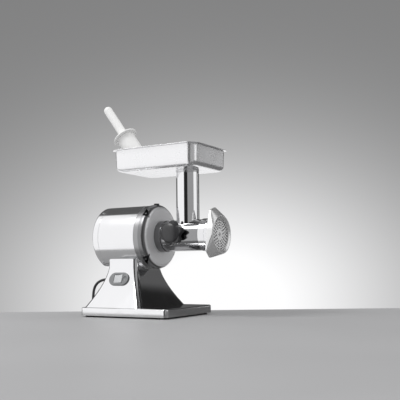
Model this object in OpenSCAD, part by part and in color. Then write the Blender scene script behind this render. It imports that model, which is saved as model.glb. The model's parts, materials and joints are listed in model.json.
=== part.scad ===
// Electric meat grinder: a geared motor in a drum on a flared pedestal, a
// screw-fed mincing head with a vertical neck, a feed tray and a stomper.
// Millimetres, +Z up. The head points along -Y and the motor lies along +Y.
// The origin is on the table, midway across, below the drum's front face.

/* [Base] */
// Width of the plinth across the machine
plinth_w = 224; // [216:1:240]
// How far the plinth reaches in front of the drum's face
plinth_front = 82; // [60:1:110]
// How far the plinth reaches behind the drum's face
plinth_rear = 176; // [171:1:200]
// Height of the plinth's top above the table
plinth_top = 24; // [22:1:32]
// Radius of the plinth's upright corners
plinth_corner_r = 10; // [8:1:16]
// Radius of the plinth's top edge
plinth_edge_r = 4; // [2:0.5:5]
// Wall of the plinth and the pedestal
shell_wall = 2.5; // [2:0.25:3]
// Height of the rubber feet under the bottom plate
foot_h = 5; // [4:0.5:7]
// Radius of a rubber foot
foot_r = 11; // [9:0.5:13]
// How far a foot's centre lies in from the plinth's sides
foot_inset = 18; // [16:1:24]
// Thickness of the bottom plate
bottom_plate_t = 1.5; // [1:0.25:2.5]

/* [Pedestal] */
// Half the pedestal's width just under the drum
ped_top_half_w = 58; // [52:1:64]
// Half the pedestal's width where it meets the plinth
ped_foot_half_w = 107; // [90:1:108]
// Front of the pedestal under the drum, behind the drum's face
ped_top_front = 41; // [36:1:46]
// How far the pedestal's foot spreads forwards
ped_front_spread = 46; // [30:1:56]
// Rear of the pedestal under the drum, behind the drum's face
ped_top_rear = 131; // [118:1:135]
// How far the pedestal's foot spreads backwards
ped_rear_spread = 40; // [30:1:41]
// Height at which the pedestal begins to flare
ped_flare_z = 126; // [116:1:130]
// Radius of the pedestal's upright corners at the top
ped_corner_r = 12; // [8:1:16]
// How sharply the pedestal flares towards its foot
ped_flare_power = 1.5; // [1.3:0.1:2.4]

/* [Drum] */
// Height of the drum's axis above the table
axis_z = 201; // [198:1:206]
// Outside radius of the motor drum
drum_r = 80.5; // [80:0.5:81.5]
// Wall of the motor drum
drum_wall = 1.5; // [1:0.25:2]
// Where the drum ends at the rear, behind its face
drum_rear = 165; // [158:1:168]
// Length of the rear cap's skirt
cap_skirt = 20; // [14:1:24]
// Radius of the rear cap's edge
cap_edge_r = 6; // [3:0.5:8]
// How far the front casting stands out past the drum
casting_lip = 1.5; // [1.25:0.25:3]
// Length of the front casting's outside wall
casting_len = 21; // [20:0.5:24]
// Length of the gearbox ring behind the front casting
gearbox_ring_len = 14; // [13:0.5:16]
// Radius of the front casting's rounded edge
casting_edge_r = 13.5; // [12:0.5:14.5]
// Thickness of the front casting's end wall
casting_wall = 8; // [7:0.5:9]
// Distance of the casting's bolts in from the drum's outside
casting_bolt_inset = 5.5; // [5:0.25:6.5]
// Angle of the casting's bolt pockets above and below the middle
pocket_angle = 49; // [46:1:52]

/* [Motor and gears] */
// Gap between the countershaft wheel's teeth and the gearbox ring
wheel_gap = 2.65; // [2:0.05:6]
// Teeth of the motor pinion
pinion_teeth = 12; // [12:1:13]
// Teeth of the countershaft wheel
wheel_teeth = 38; // [36:1:38]
// Teeth of the countershaft pinion
second_pinion_teeth = 13; // [12:1:14]
// Width of each gear
gear_w = 9; // [7:0.5:9.5]
// Backlash between meshing teeth
backlash = 0.14; // [0.1:0.02:0.2]
// Radius of the motor shaft
motor_shaft_r = 6; // [5:0.25:6.5]
// Radius of the output shaft
output_shaft_r = 12.5; // [12:0.25:14]
// Radius of the rotor
rotor_r = 35; // [32:0.5:38]
// Length of the lamination stack
stack_len = 54; // [46:1:56]
// Air gap between the rotor and the stator
air_gap = 0.5; // [0.4:0.05:0.8]

/* [Head] */
// How far the nut's face lies in front of the drum's face
head_reach = 174; // [168:1:180]
// Outside radius of the head's barrel
barrel_r = 39; // [38.5:0.25:39.5]
// Radius of the collar behind the ring nut
collar_r = 41; // [40:0.25:42]
// Radius of the mincing chamber
chamber_r = 32.5; // [31:0.5:33]
// Radius of the spigot that the head slides on
spigot_r = 30; // [29:0.25:31]
// How far the spigot stands out of the drum's face
spigot_len = 66; // [65:0.5:67]
// Length of the ring that the head seats against
seat_len = 18; // [14:1:22]
// Radius of the hole plate
plate_r = 41; // [40.5:0.25:41.5]
// Thickness of the hole plate
plate_t = 9; // [7:0.5:10]
// Radius of the small holes in the plate
plate_hole_r = 2.25; // [1.5:0.25:2.4]
// Outside radius of the neck tube
neck_r = 29; // [28:0.25:29.5]
// Wall of the neck tube
neck_wall = 2; // [1.5:0.25:2.5]
// How far the neck's axis lies in front of the drum's face
neck_reach = 77; // [75:0.5:80]
// Radius of the opening in the ring nut
nut_bore_r = 38.5; // [37:0.5:39.5]
// Length of the ring nut
nut_len = 18; // [16:0.5:20]
// Outside radius of the ring nut's front face
nut_face_r = 48; // [46:0.5:48.5]
// Reach of the ring nut's three lugs from the axis
lug_reach = 66; // [60:1:70]
// Width of a lug's blunt end
lug_w = 32; // [24:1:38]
// Thickness of a lug's end
lug_t = 4; // [3:0.5:6]
// Turn of the first lug from upright
lug_turn = 17; // [0:1:60]

/* [Lock knob] */
// Radius of the knob over its lobes
knob_r = 32; // [28:0.5:33]
// Number of lobes on the knob
knob_lobes = 6; // [5:1:7]
// Thickness of the knob's lobes
knob_t = 15; // [12:0.5:18]
// How far the knob's stud lies in front of the drum's face
knob_reach = 60; // [59:0.5:60.5]

/* [Feed tray and stomper] */
// Width of the tray over its rim
tray_w = 186; // [160:1:190]
// How far the tray's rim reaches in front of the neck's axis
tray_front = 74.5; // [60:0.5:80]
// How far the tray's rim reaches behind the neck's axis
tray_rear = 178.5; // [164:0.5:190]
// Height of the tray's rim above the table
tray_rim_z = 421; // [415:1:440]
// Depth of the tray
tray_depth = 56; // [50:1:58]
// Sheet thickness of the tray
tray_t = 1.25; // [1:0.25:2]
// Width of the tray's out-turned rim
tray_rim_w = 7; // [4:0.5:8]
// Radius of the tray's upright corners
tray_corner_r = 22; // [16:1:30]
// Radius of the tray's bottom edge
tray_edge_r = 13; // [6:0.5:15]
// How much narrower each side of the tray is at the floor
tray_taper = 2; // [0:0.5:4]
// Height of the collar between the neck and the tray's floor
neck_collar_h = 4.3; // [3:0.1:6]
// Radius of the stomper's plunger
plunger_r = 23.5; // [22:0.25:24]
// Length of the plunger below its flange
plunger_len = 100.5; // [90:0.5:104]
// Radius of the stomper's flange
flange_r = 33; // [30:0.5:34]
// Radius of the stomper's handle
handle_r = 11.5; // [10:0.25:13]
// Length of the handle above the flange
handle_len = 104; // [80:1:120]
// Lean of the stomper from upright
stomper_lean = 36; // [35:0.5:37]

/* [Switch and lead] */
// Length of the switch's oval plate
switch_len = 59; // [56:1:64]
// Height of the switch's oval plate
switch_h = 34; // [28:1:36]
// Height of the switch's centre above the table
switch_z = 94; // [90:1:98]
// Where the switch lies behind the drum's face
switch_y = 87; // [84:1:95]
// Angle the rocker moves between off and on
rocker_throw = 16; // [10:1:20]
// Radius of the power cord
cord_r = 3.5; // [3:0.25:4]

/* [Hidden] */

$fn = 64;
eps = 0.01;
run_gap = 0.05;      // radial clearance of a shaft in its bore
slide_gap = 0.08;    // radial clearance of the head on its spigot
seat_gap = 0.2;      // clearance between pieces that face each other

// Base
plate_z = foot_h;
plinth_z = foot_h - 1;
plinth_l = plinth_front + plinth_rear;
plinth_mid = (plinth_rear - plinth_front) / 2;
foot_x = plinth_w / 2 - foot_inset;
foot_ys = [-plinth_front + foot_inset, plinth_rear - foot_inset];
foot_screw_r = 2;
foot_head_r = 4;

// Pedestal
ped_top_z = 152;
ped_levels = [0, 0.04, 0.1, 0.18, 0.28, 0.4, 0.52, 0.65, 0.8, 1];

// Drum and motor, all behind the drum's face
casting_r = drum_r + casting_lip;
casting_face_r = casting_r - casting_edge_r;
casting_bolt_r = drum_r - casting_bolt_inset;
ring_rear = casting_len + gearbox_ring_len;
gear_a1 = casting_wall + 2;               // front of the output gear
gear_b1 = gear_a1 + gear_w + 1.5;         // front of the first stage
gearbox_plate_y = ring_rear + 0.2;        // front of the dividing plate
gearbox_plate_t = 8;
gearbox_ring_in_r = casting_bolt_r - 5;
tooth_tip = 0.9;                          // tooth height above the pitch circle, in modules
gear_m = (gearbox_ring_in_r - wheel_gap) / (pinion_teeth / 2 + wheel_teeth + tooth_tip);
gear_a = gear_m * (pinion_teeth + wheel_teeth) / 2;
output_teeth = pinion_teeth + wheel_teeth - second_pinion_teeth;
pressure = 25;
counter_shaft_r = 5;
winding_len = 13;
front_bearing_r = 16;
rear_bearing_r = 15;
stack_front = gearbox_plate_y + gearbox_plate_t + winding_len + 3;
stack_rear = stack_front + stack_len;
stator_r = drum_r - drum_wall - 0.2;
rear_shield_y = stack_rear + winding_len + 3;
rear_shield_t = 8;
shield_rim = 7;
shield_in_r = drum_r - drum_wall - shield_rim;
shield_hole_r = 13;
fan_t = 8;
fan_hub_r = 16;
fan_r = drum_r - drum_wall - 19;
fan_blade_t = 2.4;
fan_y = rear_shield_y + rear_shield_t + 1.5;
shaft_rear = fan_y + fan_t + 2;

// Head, all in front of the drum's face
web_t = 4;
web_y = -spigot_len - seat_gap;
chamber_rear = web_y - web_t;
nut_lip = 7;
plate_front = -head_reach + nut_lip;
plate_back = plate_front + plate_t;
knife_t = 7;
knife_back = plate_back + knife_t;
mouth_front = plate_front + 3;
mouth_r = plate_r + 0.3;
mouth_wall_r = mouth_r + 3.2;
mouth_back = knife_back + 1;
mouth_wall_rear = mouth_back + 5;
nut_rear = -head_reach + nut_len;
nut_in_r = mouth_wall_r + 0.3;
nut_r = nut_in_r + 4;
lug_corner_r = 6;
nut_chamfer = 3;
tang_w = 13;
tang_len = 16;
output_front = -spigot_len + 6;
auger_pin_r = 5;
auger_neck_r = 12;
auger_core_r = 12;
auger_front = knife_back + 0.3;
bush_wall = 3;
plate_ring_base = 4;
plate_ring_step = 6.3;
plate_first_ring = 2;                     // the rings inside it are left out for the hub
plate_last_ring = 5;
pin_at = mouth_r;
pin_r = 2;

// Tray and stomper
tray_y1 = -neck_reach - tray_front;
tray_y2 = -neck_reach + tray_rear;
tray_floor_z = tray_rim_z - tray_depth;
tray_mid = (tray_y1 + tray_y2) / 2;
tray_l = tray_y2 - tray_y1;
neck_in_r = neck_r - neck_wall;
neck_top = tray_floor_z - neck_collar_h - seat_gap;
spout_r = neck_in_r - 0.3;
spout_len = 26;
flange_t = 5;
stomper_x = -30;
// the plunger's lower edge stands on the tray's floor
stomper_foot_z = tray_floor_z + tray_t + 0.4 + plunger_r * sin(stomper_lean);
// the plunger's upper side leans on the rim at the rear
stomper_foot_y = tray_y2 - tray_rim_w - 0.6
    - tray_t - plunger_r / cos(stomper_lean) - (tray_rim_z - stomper_foot_z) * tan(stomper_lean);

// Knob
knob_z = axis_z + 5;
knob_x = -barrel_r - 6;
stud_r = 5;
stud_pad_r = 11;
dome_r = 24.5;
dome_h = 7;

// Lead
cord_sides = 8;
relief_r = 8;
relief_len = 30;
relief_z = 92;
relief_y = 142;
// The free stretch, from the strain relief down to the table and into the coil
cord_route = [[0, 151, 92], [0, 168, 92], [0, 182, 91.5], [0, 194, 89.5], [0, 204, 85.5],
    [0, 212, 79.5], [0, 218.5, 71], [0, 222, 60], [0, 223, 46], [0, 224, 33], [2, 227.5, 21],
    [8, 233, 11], [18, 239, 5.5], [30, 243, 3.6], [44, 246, 3.6], [60, 248, 3.6],
    [78, 252, 3.6], [94, 257, 3.6], [104, 260, 3.6]];
coil_mid = [134, 228, 0];
coil_turn_r = 38.5;
coil_wide = 2;
coil_high = 3;
coil_end = [coil_mid[0] + coil_turn_r + cord_r, coil_mid[1], 5 * cord_r];
plug_r = 13;
plug_len = 34;
plug_gap = 32;       // free cord between the coil and the plug

// ---------------------------------------------------------------- shapes

// Turns a shape's Z axis along -Y and stands it on the drum's axis
module on_axis(y = 0) {
    translate([0, y, axis_z]) rotate([90, 0, 0]) children();
}

// A disc or ring on the drum's axis, from y_front back to y_rear
module ring(r, bore, y_front, y_rear) {
    on_axis(y_rear) difference() {
        cylinder(r = r, h = y_rear - y_front);
        if (bore > 0)
            translate([0, 0, -1]) cylinder(r = bore, h = y_rear - y_front + 2);
    }
}

// A rectangle with round corners
module round_rect(w, l, r) {
    square([w - 2 * r, l], center = true);
    square([w, l - 2 * r], center = true);
    for (sx = [-1, 1], sy = [-1, 1])
        translate([sx * (w / 2 - r), sy * (l / 2 - r)]) circle(r = r);
}

// One level of a shape with round upright corners, from y1 to y2 and hw each side
corner_steps = 5;
ring_sides = 4 * (corner_steps + 1);
function level(hw, y1, y2, r, z) = [
    for (c = [[hw - r, y2 - r, 0], [r - hw, y2 - r, 90], [r - hw, y1 + r, 180],
            [hw - r, y1 + r, 270]],
        k = [0:corner_steps])
        [c[0] + r * cos(c[2] + 90 * k / corner_steps),
            c[1] + r * sin(c[2] + 90 * k / corner_steps), z]];

// The side faces between levels, turned outwards or inwards
function sides(n, s, first, outward) = [for (i = [0:n - 2], k = [0:s - 1])
    let(a = first + i * s + k, b = first + i * s + (k + 1) % s)
    outward ? [b, a, a + s, b + s] : [a, b, b + s, a + s]];

// A solid through levels that have the same number of points
module loft(levels) {
    n = len(levels);
    s = len(levels[0]);
    polyhedron([for (l = levels) each l], concat([[for (k = [0:s - 1]) k]],
        sides(n, s, 0, true), [[for (k = [s - 1:-1:0]) (n - 1) * s + k]]));
}

// An oval slot lying along Z's plane, l long and w wide
module oval(l, w, h) {
    translate([-(l - w) / 2, -w / 2, 0]) cube([l - w, w, h]);
    for (s = [-1, 1])
        translate([s * (l - w) / 2, 0, 0]) cylinder(d = w, h = h);
}

// The involute flank's angle at a radius
function roll(r, base) = let(a = acos(min(1, base / r))) tan(a) * 180 / PI - a;

// A gear's outline, with a tooth centred on the given angle
module gear_2d(teeth, start) {
    pitch_r = gear_m * teeth / 2;
    base_r = pitch_r * cos(pressure);
    root_r = pitch_r - 1.15 * gear_m;
    tip_r = pitch_r + tooth_tip * gear_m;
    half = 90 / teeth - backlash / 4 / pitch_r * 180 / PI + roll(pitch_r, base_r);
    low_r = max(root_r, base_r);
    flank = [for (i = [0:4]) let(r = low_r + (tip_r - low_r) * i / 4)
        [r, half - roll(r, base_r)]];
    side = concat([[root_r, half - roll(low_r, base_r)]], flank);
    polygon([for (k = [0:teeth - 1]) let(mid = start + k * 360 / teeth)
        each concat(
            [for (p = side) p[0] * [cos(mid - p[1]), sin(mid - p[1])]],
            [for (i = [5:-1:0]) side[i][0] * [cos(mid + side[i][1]), sin(mid + side[i][1])]])]);
}

// A gear with its front at y_front, on an axis below the drum's by drop
module gear(teeth, start, bore, y_front, drop = 0) {
    translate([0, 0, -drop]) on_axis(y_front + gear_w) difference() {
        linear_extrude(gear_w) gear_2d(teeth, start);
        translate([0, 0, -1]) cylinder(r = bore, h = gear_w + 2);
    }
}

// A tube swept along points; each ring is square to the route
function unit(v) = v / norm(v);
function heading(p, i) = unit(p[min(i + 1, len(p) - 1)] - p[max(i - 1, 0)]);
function ring_at(c, d, r) = let(
    side = unit(cross(d, [0.5, -0.7, 0.6])),
    up = cross(d, side))
    [for (k = [0:cord_sides - 1]) let(a = 360 * k / cord_sides)
        c + r * (cos(a) * side + sin(a) * up)];
module swept_tube(p, r) {
    loft([for (i = [0:len(p) - 1]) ring_at(p[i], heading(p, i), r)]);
}

// A socket-head or dome screw: shank down, head on top
module screw(shank_r, shank_len, head_r, head_h) {
    translate([0, 0, -shank_len]) cylinder(r = shank_r, h = shank_len + eps, $fn = 32);
    difference() {
        cylinder(r = head_r, h = head_h, $fn = 32);
        translate([0, 0, head_h * 0.45])
            cylinder(r = head_r * 0.55, h = head_h, $fn = 6);
    }
}

// ---------------------------------------------------------------- base

module plinth() {
    color("silver") difference() {
        loft(concat(
            [level(plinth_w / 2, -plinth_front, plinth_rear, plinth_corner_r, plinth_z)],
            [for (t = [0, 22.5, 45, 67.5, 90]) let(e = plinth_edge_r * (1 - cos(t)))
                level(plinth_w / 2 - e, e - plinth_front, plinth_rear - e,
                    plinth_corner_r - e, plinth_top - plinth_edge_r * (1 - sin(t)))]));
        translate([0, plinth_mid, plinth_z - shell_wall])
            linear_extrude(plinth_top - plinth_z)
                round_rect(plinth_w - 2 * shell_wall, plinth_l - 2 * shell_wall,
                    plinth_corner_r - shell_wall);
        // opening under the pedestal for the wiring
        translate([-ped_top_half_w, ped_top_front, plinth_z])
            cube([2 * ped_top_half_w, ped_top_rear - ped_top_front, plinth_top]);
    }
}

// How far the flare has spread at a height, from 0 at the top to 1 at the foot
function flare(z) = pow(max(0, (ped_flare_z - z) / (ped_flare_z - plinth_top)),
    ped_flare_power);
// One level of the pedestal, inset by a wall
function ped_level(z, wall) = let(f = flare(z))
    level(ped_top_half_w + (ped_foot_half_w - ped_top_half_w) * f - wall,
        ped_top_front - ped_front_spread * f + wall,
        ped_top_rear + ped_rear_spread * f - wall, ped_corner_r + 3 * f - wall, z);

module pedestal() {
    zs = concat([for (t = ped_levels)
        plinth_top + (ped_flare_z - plinth_top) * t], [ped_top_z]);
    n = len(zs);
    s = ring_sides;
    m = n * s;
    top = (n - 1) * s;
    color("silver") difference() {
        polyhedron(
            concat([for (z = zs) each ped_level(z, 0)],
                [for (z = zs) each ped_level(z, shell_wall)]),
            concat(sides(n, s, 0, true), sides(n, s, m, false),
                [for (k = [0:s - 1]) let(l = (k + 1) % s) [k, l, m + l, m + k]],
                [for (k = [0:s - 1]) let(l = (k + 1) % s)
                    [top + l, top + k, m + top + k, m + top + l]]));
        // saddle for the drum
        ring(drum_r + run_gap, 0, 0, drum_rear);
        // hole for the switch body
        on_switch(-switch_cut) oval(switch_body_l + 1, switch_body_h + 1, 2 * switch_cut);
        // hole for the strain relief
        translate([0, plinth_rear, relief_z]) rotate([90, 0, 0])
            cylinder(r = relief_r, h = plinth_rear - plinth_mid);
    }
}

module bottom_plate() {
    color("dimgray") difference() {
        translate([0, plinth_mid, plate_z]) linear_extrude(bottom_plate_t)
            round_rect(plinth_w - 2 * shell_wall, plinth_l - 2 * shell_wall,
                plinth_corner_r - shell_wall);
        for (sx = [-1, 1], y = foot_ys)
            translate([sx * foot_x, y, plate_z - 1])
                cylinder(r = foot_screw_r + 0.2, h = bottom_plate_t + 2, $fn = 32);
        // vent slots under the electrics
        for (i = [-3:3])
            translate([0, plinth_mid + 14 * i, plate_z - 1]) oval(60, 4, bottom_plate_t + 2);
    }
}

// A tapered rubber foot, open below for its screw
module feet() {
    color("black") for (sx = [-1, 1], y = foot_ys)
        translate([sx * foot_x, y, 0]) difference() {
            rotate_extrude() polygon([[0, 0], [foot_r - 1.5, 0], [foot_r, 1.5],
                [foot_r, foot_h], [0, foot_h]]);
            translate([0, 0, -1]) cylinder(r = foot_head_r + 0.4, h = 3);
            cylinder(r = foot_screw_r + 0.1, h = foot_h + 1, $fn = 32);
        }
}

module foot_screws() {
    color("silver") for (sx = [-1, 1], y = foot_ys)
        translate([sx * foot_x, y, 2]) rotate([180, 0, 0])
            screw(foot_screw_r, foot_h + bottom_plate_t + 2, foot_head_r, 1.6);
}

// ---------------------------------------------------------------- switch

// The pedestal's side at a height
function ped_side(z) = ped_top_half_w + (ped_foot_half_w - ped_top_half_w) * flare(z);
switch_low = ped_side(switch_z - switch_h / 2);
switch_high = ped_side(switch_z + switch_h / 2);
switch_tilt = atan((switch_low - switch_high) / switch_h);
switch_x = -(switch_low + switch_high) / 2;
switch_proud = 3;
switch_body_l = 48;
switch_body_h = 23;
switch_body_d = 28;
switch_cut = 12;
rocker_well = 13;
rocker_l = 27;
rocker_h = 21;
rocker_shift = -1;

// Stands a shape on the pedestal's leaning side: Z inwards, X to the front, Y up
module on_switch(x = 0) {
    translate([switch_x, switch_y, switch_z]) rotate([0, switch_tilt, 0])
        translate([x, 0, 0]) rotate([90, 0, -90]) mirror([0, 0, 1]) children();
}

// The raised oval plate
module switch_bezel() {
    color("gray") difference() {
        on_switch(-switch_proud - 0.2) oval(switch_len, switch_h, switch_proud);
        on_switch(-switch_proud - 1) translate([rocker_shift, 0, 0])
            rocker_window(switch_proud + 2);
        // finger hollow in front of the rocker
        on_switch(-switch_proud - 1) translate([rocker_shift + rocker_l / 2 + 7, 0, 0])
            oval(13, 12, 2.5);
    }
}

module rocker_window(h) {
    translate([-rocker_l / 2 - 0.5, -rocker_h / 2 - 0.5, 0])
        cube([rocker_l + 1, rocker_h + 1, h]);
}

// The switch's box behind the pedestal's side, with a well for the rocker
module switch_body() {
    color("black") difference() {
        on_switch() oval(switch_body_l, switch_body_h, switch_body_d);
        on_switch(-1) translate([rocker_shift, 0, 0]) rocker_window(rocker_well);
    }
}

module switch_rocker() {
    color("lightgray") on_switch(0) translate([rocker_shift, 0, 0])
        rotate([0, rocker_throw / 2, 0]) difference() {
            translate([-rocker_l / 2 + 0.4, -rocker_h / 2 + 0.1, -4])
                cube([rocker_l - 0.8, rocker_h - 0.2, 9]);
            // the hollow finger face
            translate([0, 0, -52.2]) rotate([90, 0, 0])
                cylinder(r = 50, h = 2 * rocker_h, center = true, $fn = 128);
        }
}

// ---------------------------------------------------------------- electrics

capacitor_r = 17;
capacitor_h = 68;
clip_floor = 3;
clip_h = 22;

module on_capacitor(z = 0) {
    translate([0.38 * ped_top_half_w, ped_top_front + 0.5 * capacitor_r + 20.5,
        plate_z + bottom_plate_t + z]) children();
}

module capacitor() {
    color("white") on_capacitor(clip_floor) {
        cylinder(r = capacitor_r, h = capacitor_h);
        for (x = [-6, 5]) translate([x, -2.5, capacitor_h]) cube([1, 5, 7]);
    }
}

module capacitor_clip() {
    color("silver") on_capacitor() difference() {
        cylinder(r = capacitor_r + 1.5, h = clip_h);
        translate([0, 0, clip_floor]) cylinder(r = capacitor_r, h = clip_h);
    }
}

module terminal_block() {
    color("ivory") translate([-36, 52, plate_z + bottom_plate_t]) difference() {
        cube([22, 44, 16]);
        for (i = [0:3])
            translate([11, 7 + 10 * i, 6]) cylinder(r = 2.5, h = 12, $fn = 32);
    }
}

// A gland with a bent-proof sleeve that thins towards the cord
module strain_relief() {
    color("black") translate([0, relief_y, relief_z]) rotate([-90, 0, 0]) difference() {
        rotate_extrude() polygon([[0, -9], [relief_r - 0.05, -9], [relief_r - 0.05, 0.6],
            [relief_r + 2, 0.6], [relief_r + 2, 3.6], [relief_r - 1.5, 4.6],
            [cord_r + 1.2, relief_len + 3], [0, relief_len + 3]]);
        translate([0, 0, 8]) cylinder(r = cord_r + 0.05, h = relief_len);
    }
}

module power_cord() {
    color("black") {
        swept_tube(cord_route, cord_r);
        swept_tube([coil_end, coil_end - [0, 12, 2], coil_end - [0, 23, 3.8],
            coil_end - [0, plug_gap + 1, 4.5]], cord_r);
    }
}

module cord_coil() {
    color("black") translate(coil_mid) rotate_extrude()
        translate([coil_turn_r - coil_wide * cord_r, 0])
            square([2 * coil_wide * cord_r, 2 * coil_high * cord_r]);
}

// A strap around the turns, open below
module cord_tie() {
    w = 2 * coil_wide * cord_r;
    h = 2 * coil_high * cord_r;
    color("dimgray") translate([coil_mid[0], coil_mid[1] - coil_turn_r, 0]) difference() {
        translate([-5, -w / 2 - 1.4, 0]) cube([10, w + 3.2, h + 1.4]);
        translate([-6, -w / 2 - 0.02, -1]) cube([12, w + 0.5, h + 1.02]);
    }
}

// A round plug lying beside the coil, its sleeve where the last turn runs off
module on_plug() {
    translate([coil_end[0], coil_end[1] - plug_gap - plug_len, plug_r]) rotate([-90, 0, 0]) children();
}
module power_plug() {
    color("black") on_plug() rotate_extrude() polygon([[0, 0], [plug_r - 1, 0], [plug_r, 1],
        [plug_r, 0.6 * plug_len], [0.8 * plug_r, 0.75 * plug_len], [cord_r + 2, plug_len],
        [0, plug_len]]);
}

module plug_pins() {
    color("silver") on_plug() for (s = [-1, 1])
        translate([s * 9.5, 0, -19]) cylinder(r = 2.4, h = 19, $fn = 32);
}

// ---------------------------------------------------------------- drum

module saddle_plate() {
    color("silver") difference() {
        translate([0, (ped_top_front + ped_top_rear) / 2, saddle_bolt_z - 4])
            linear_extrude(saddle_h) round_rect(2 * (ped_top_half_w - shell_wall),
                ped_top_rear - ped_top_front - 2 * shell_wall - 2, ped_corner_r);
        ring(drum_r + run_gap, 0, 0, drum_rear);
        // room for the wiring under the drum
        translate([-saddle_arch_half_w, ped_top_front, saddle_bolt_z - saddle_h])
            cube([2 * saddle_arch_half_w, ped_top_rear - ped_top_front, saddle_h]);
        at_saddle_bolts() translate([0, 0, -1]) cylinder(r = saddle_bolt_r, h = 30, $fn = 32);
    }
}

// The places of the upright bolts through the saddle into the drum
saddle_bolt_x = 30;
saddle_bolt_r = 3;
saddle_bolt_z = axis_z - drum_r - 4;
saddle_h = 26;
saddle_arch_half_w = 44;
module at_saddle_bolts() {
    for (sx = [-1, 1], y = [ped_top_front + 20, ped_top_rear - 20])
        translate([sx * saddle_bolt_x, y, saddle_bolt_z]) children();
}

module saddle_bolts() {
    reach = sqrt(pow(drum_r - drum_wall, 2) - pow(saddle_bolt_x - saddle_bolt_r, 2));
    color("silver") at_saddle_bolts() rotate([180, 0, 0])
        screw(saddle_bolt_r, axis_z - reach - saddle_bolt_z, 5, 4);
}

module gearbox_ring() {
    color("lightgray") difference() {
        ring(drum_r, gearbox_ring_in_r, casting_len, ring_rear - 0.05);
        for (a = casting_angles) on_axis(ring_rear + 1) rotate(a)
            translate([casting_bolt_r, 0, 0])
                cylinder(r = casting_screw_r, h = 40, $fn = 32);
    }
}

module drum_shell() {
    color("lightgray") difference() {
        ring(drum_r, drum_r - drum_wall, ring_rear, drum_rear - cap_skirt);
        at_saddle_bolts() cylinder(r = saddle_bolt_r, h = 30, $fn = 32);
    }
}

// The places of the small screws through the cap's skirt, each square to the drum
cap_screw_y = drum_rear - 14;
cap_screw_r = 1.5;
module at_cap_screws() {
    for (a = [53, 127, 233, 307]) on_axis(cap_screw_y) rotate([0, 90, a])
        translate([0, 0, drum_r]) children();
}

module rear_cap() {
    color("lightgray") difference() {
        on_axis(0) rotate_extrude() {
            difference() {
                union() {
                    translate([0, -drum_rear]) square([drum_r - cap_edge_r, cap_skirt]);
                    translate([0, -drum_rear + cap_edge_r])
                        square([drum_r, cap_skirt - cap_edge_r]);
                    translate([drum_r - cap_edge_r, -drum_rear + cap_edge_r])
                        intersection() {
                            circle(r = cap_edge_r);
                            translate([0, -cap_edge_r]) square(cap_edge_r);
                        }
                }
                translate([-1, -drum_rear + drum_wall])
                    square([1 + drum_r - cap_edge_r, cap_skirt]);
                translate([-1, -drum_rear + cap_edge_r])
                    square([1 + drum_r - drum_wall, cap_skirt]);
            }
        }
        at_cap_screws() translate([0, 0, -5]) cylinder(r = cap_screw_r, h = 6, $fn = 32);
    }
}

module rear_cap_screws() {
    color("silver") at_cap_screws() screw(cap_screw_r, 8, 3, 1.6);
}

// The rear bearing's holder, with a rim that the cap's skirt is screwed to
module rear_shield() {
    rim_end = cap_screw_y + 4;
    color("darkgray") difference() {
        ring(drum_r - drum_wall, 0, rear_shield_y, rim_end);
        ring(shield_in_r, 0, rear_shield_y + rear_shield_t, rim_end + 1);
        ring(rear_bearing_r, 0, rear_shield_y - 1, rim_end);
        for (a = [0:60:300])
            on_axis(rim_end) rotate(a + 30)
                translate([(rear_bearing_r + shield_in_r) / 2, 0, 0])
                    cylinder(r = shield_hole_r, h = rim_end - rear_shield_y + 1);
        at_cap_screws() translate([0, 0, -8]) cylinder(r = cap_screw_r, h = 9, $fn = 32);
    }
}

module rear_bearing() {
    color("silver") ring(rear_bearing_r, motor_shaft_r + run_gap, rear_shield_y,
        rear_shield_y + rear_shield_t);
}

module fan() {
    color("black") {
        ring(fan_hub_r, motor_shaft_r, fan_y, fan_y + fan_t);
        for (i = [0:8]) on_axis(fan_y + fan_t) rotate(40 * i)
            translate([fan_hub_r - 1, -fan_blade_t / 2, 0])
                cube([fan_r - fan_hub_r + 1, fan_blade_t, fan_t]);
    }
}

module stator_core() {
    color("dimgray") difference() {
        ring(stator_r, rotor_r + air_gap, stack_front, stack_rear);
        for (i = [0:23]) on_axis(stack_rear + 1) rotate(15 * i)
            translate([rotor_r + air_gap + 9, 0, 0]) cylinder(r = 3.6, h = stack_len + 2, $fn = 24);
    }
}

module stator_windings() {
    color("chocolate") {
        ring(rotor_r + 22, rotor_r + 4, stack_rear, stack_rear + winding_len);
        ring(rotor_r + 22, rotor_r + 4, stack_front - winding_len, stack_front);
    }
}

module rotor() {
    color("gray") {
        ring(rotor_r, motor_shaft_r, stack_front, stack_rear);
        ring(rotor_r - 1, rotor_r - 12, stack_front - 6, stack_front);
        ring(rotor_r - 1, rotor_r - 12, stack_rear, stack_rear + 6);
    }
}

module motor_shaft() {
    color("silver") {
        ring(motor_shaft_r, 0, gear_b1 + gear_w, shaft_rear);
        ring(motor_shaft_r - 1.5, 0, gear_b1, gear_b1 + gear_w + 1);
    }
}

module motor_pinion() {
    color("silver") gear(pinion_teeth, -90, motor_shaft_r - 1.5, gear_b1);
}

module gearbox_plate() {
    color("darkgray") difference() {
        ring(drum_r - drum_wall - 0.1, front_bearing_r + run_gap, gearbox_plate_y,
            gearbox_plate_y + gearbox_plate_t);
        translate([0, 0, -gear_a]) ring(counter_shaft_r + 3, 0, gearbox_plate_y - 1,
            gearbox_plate_y + 6);
    }
}

module front_bearing() {
    color("silver") ring(front_bearing_r, motor_shaft_r + run_gap, gearbox_plate_y,
        gearbox_plate_y + gearbox_plate_t);
}

module counter_shaft() {
    color("silver") translate([0, 0, -gear_a])
        ring(counter_shaft_r, 0, 3, gearbox_plate_y + 5.5);
}

module counter_gear() {
    color("goldenrod") gear(wheel_teeth, 90 + 180 / wheel_teeth, counter_shaft_r, gear_b1,
        gear_a);
}

module counter_pinion() {
    color("silver") gear(second_pinion_teeth, 90, counter_shaft_r, gear_a1, gear_a);
}

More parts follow.
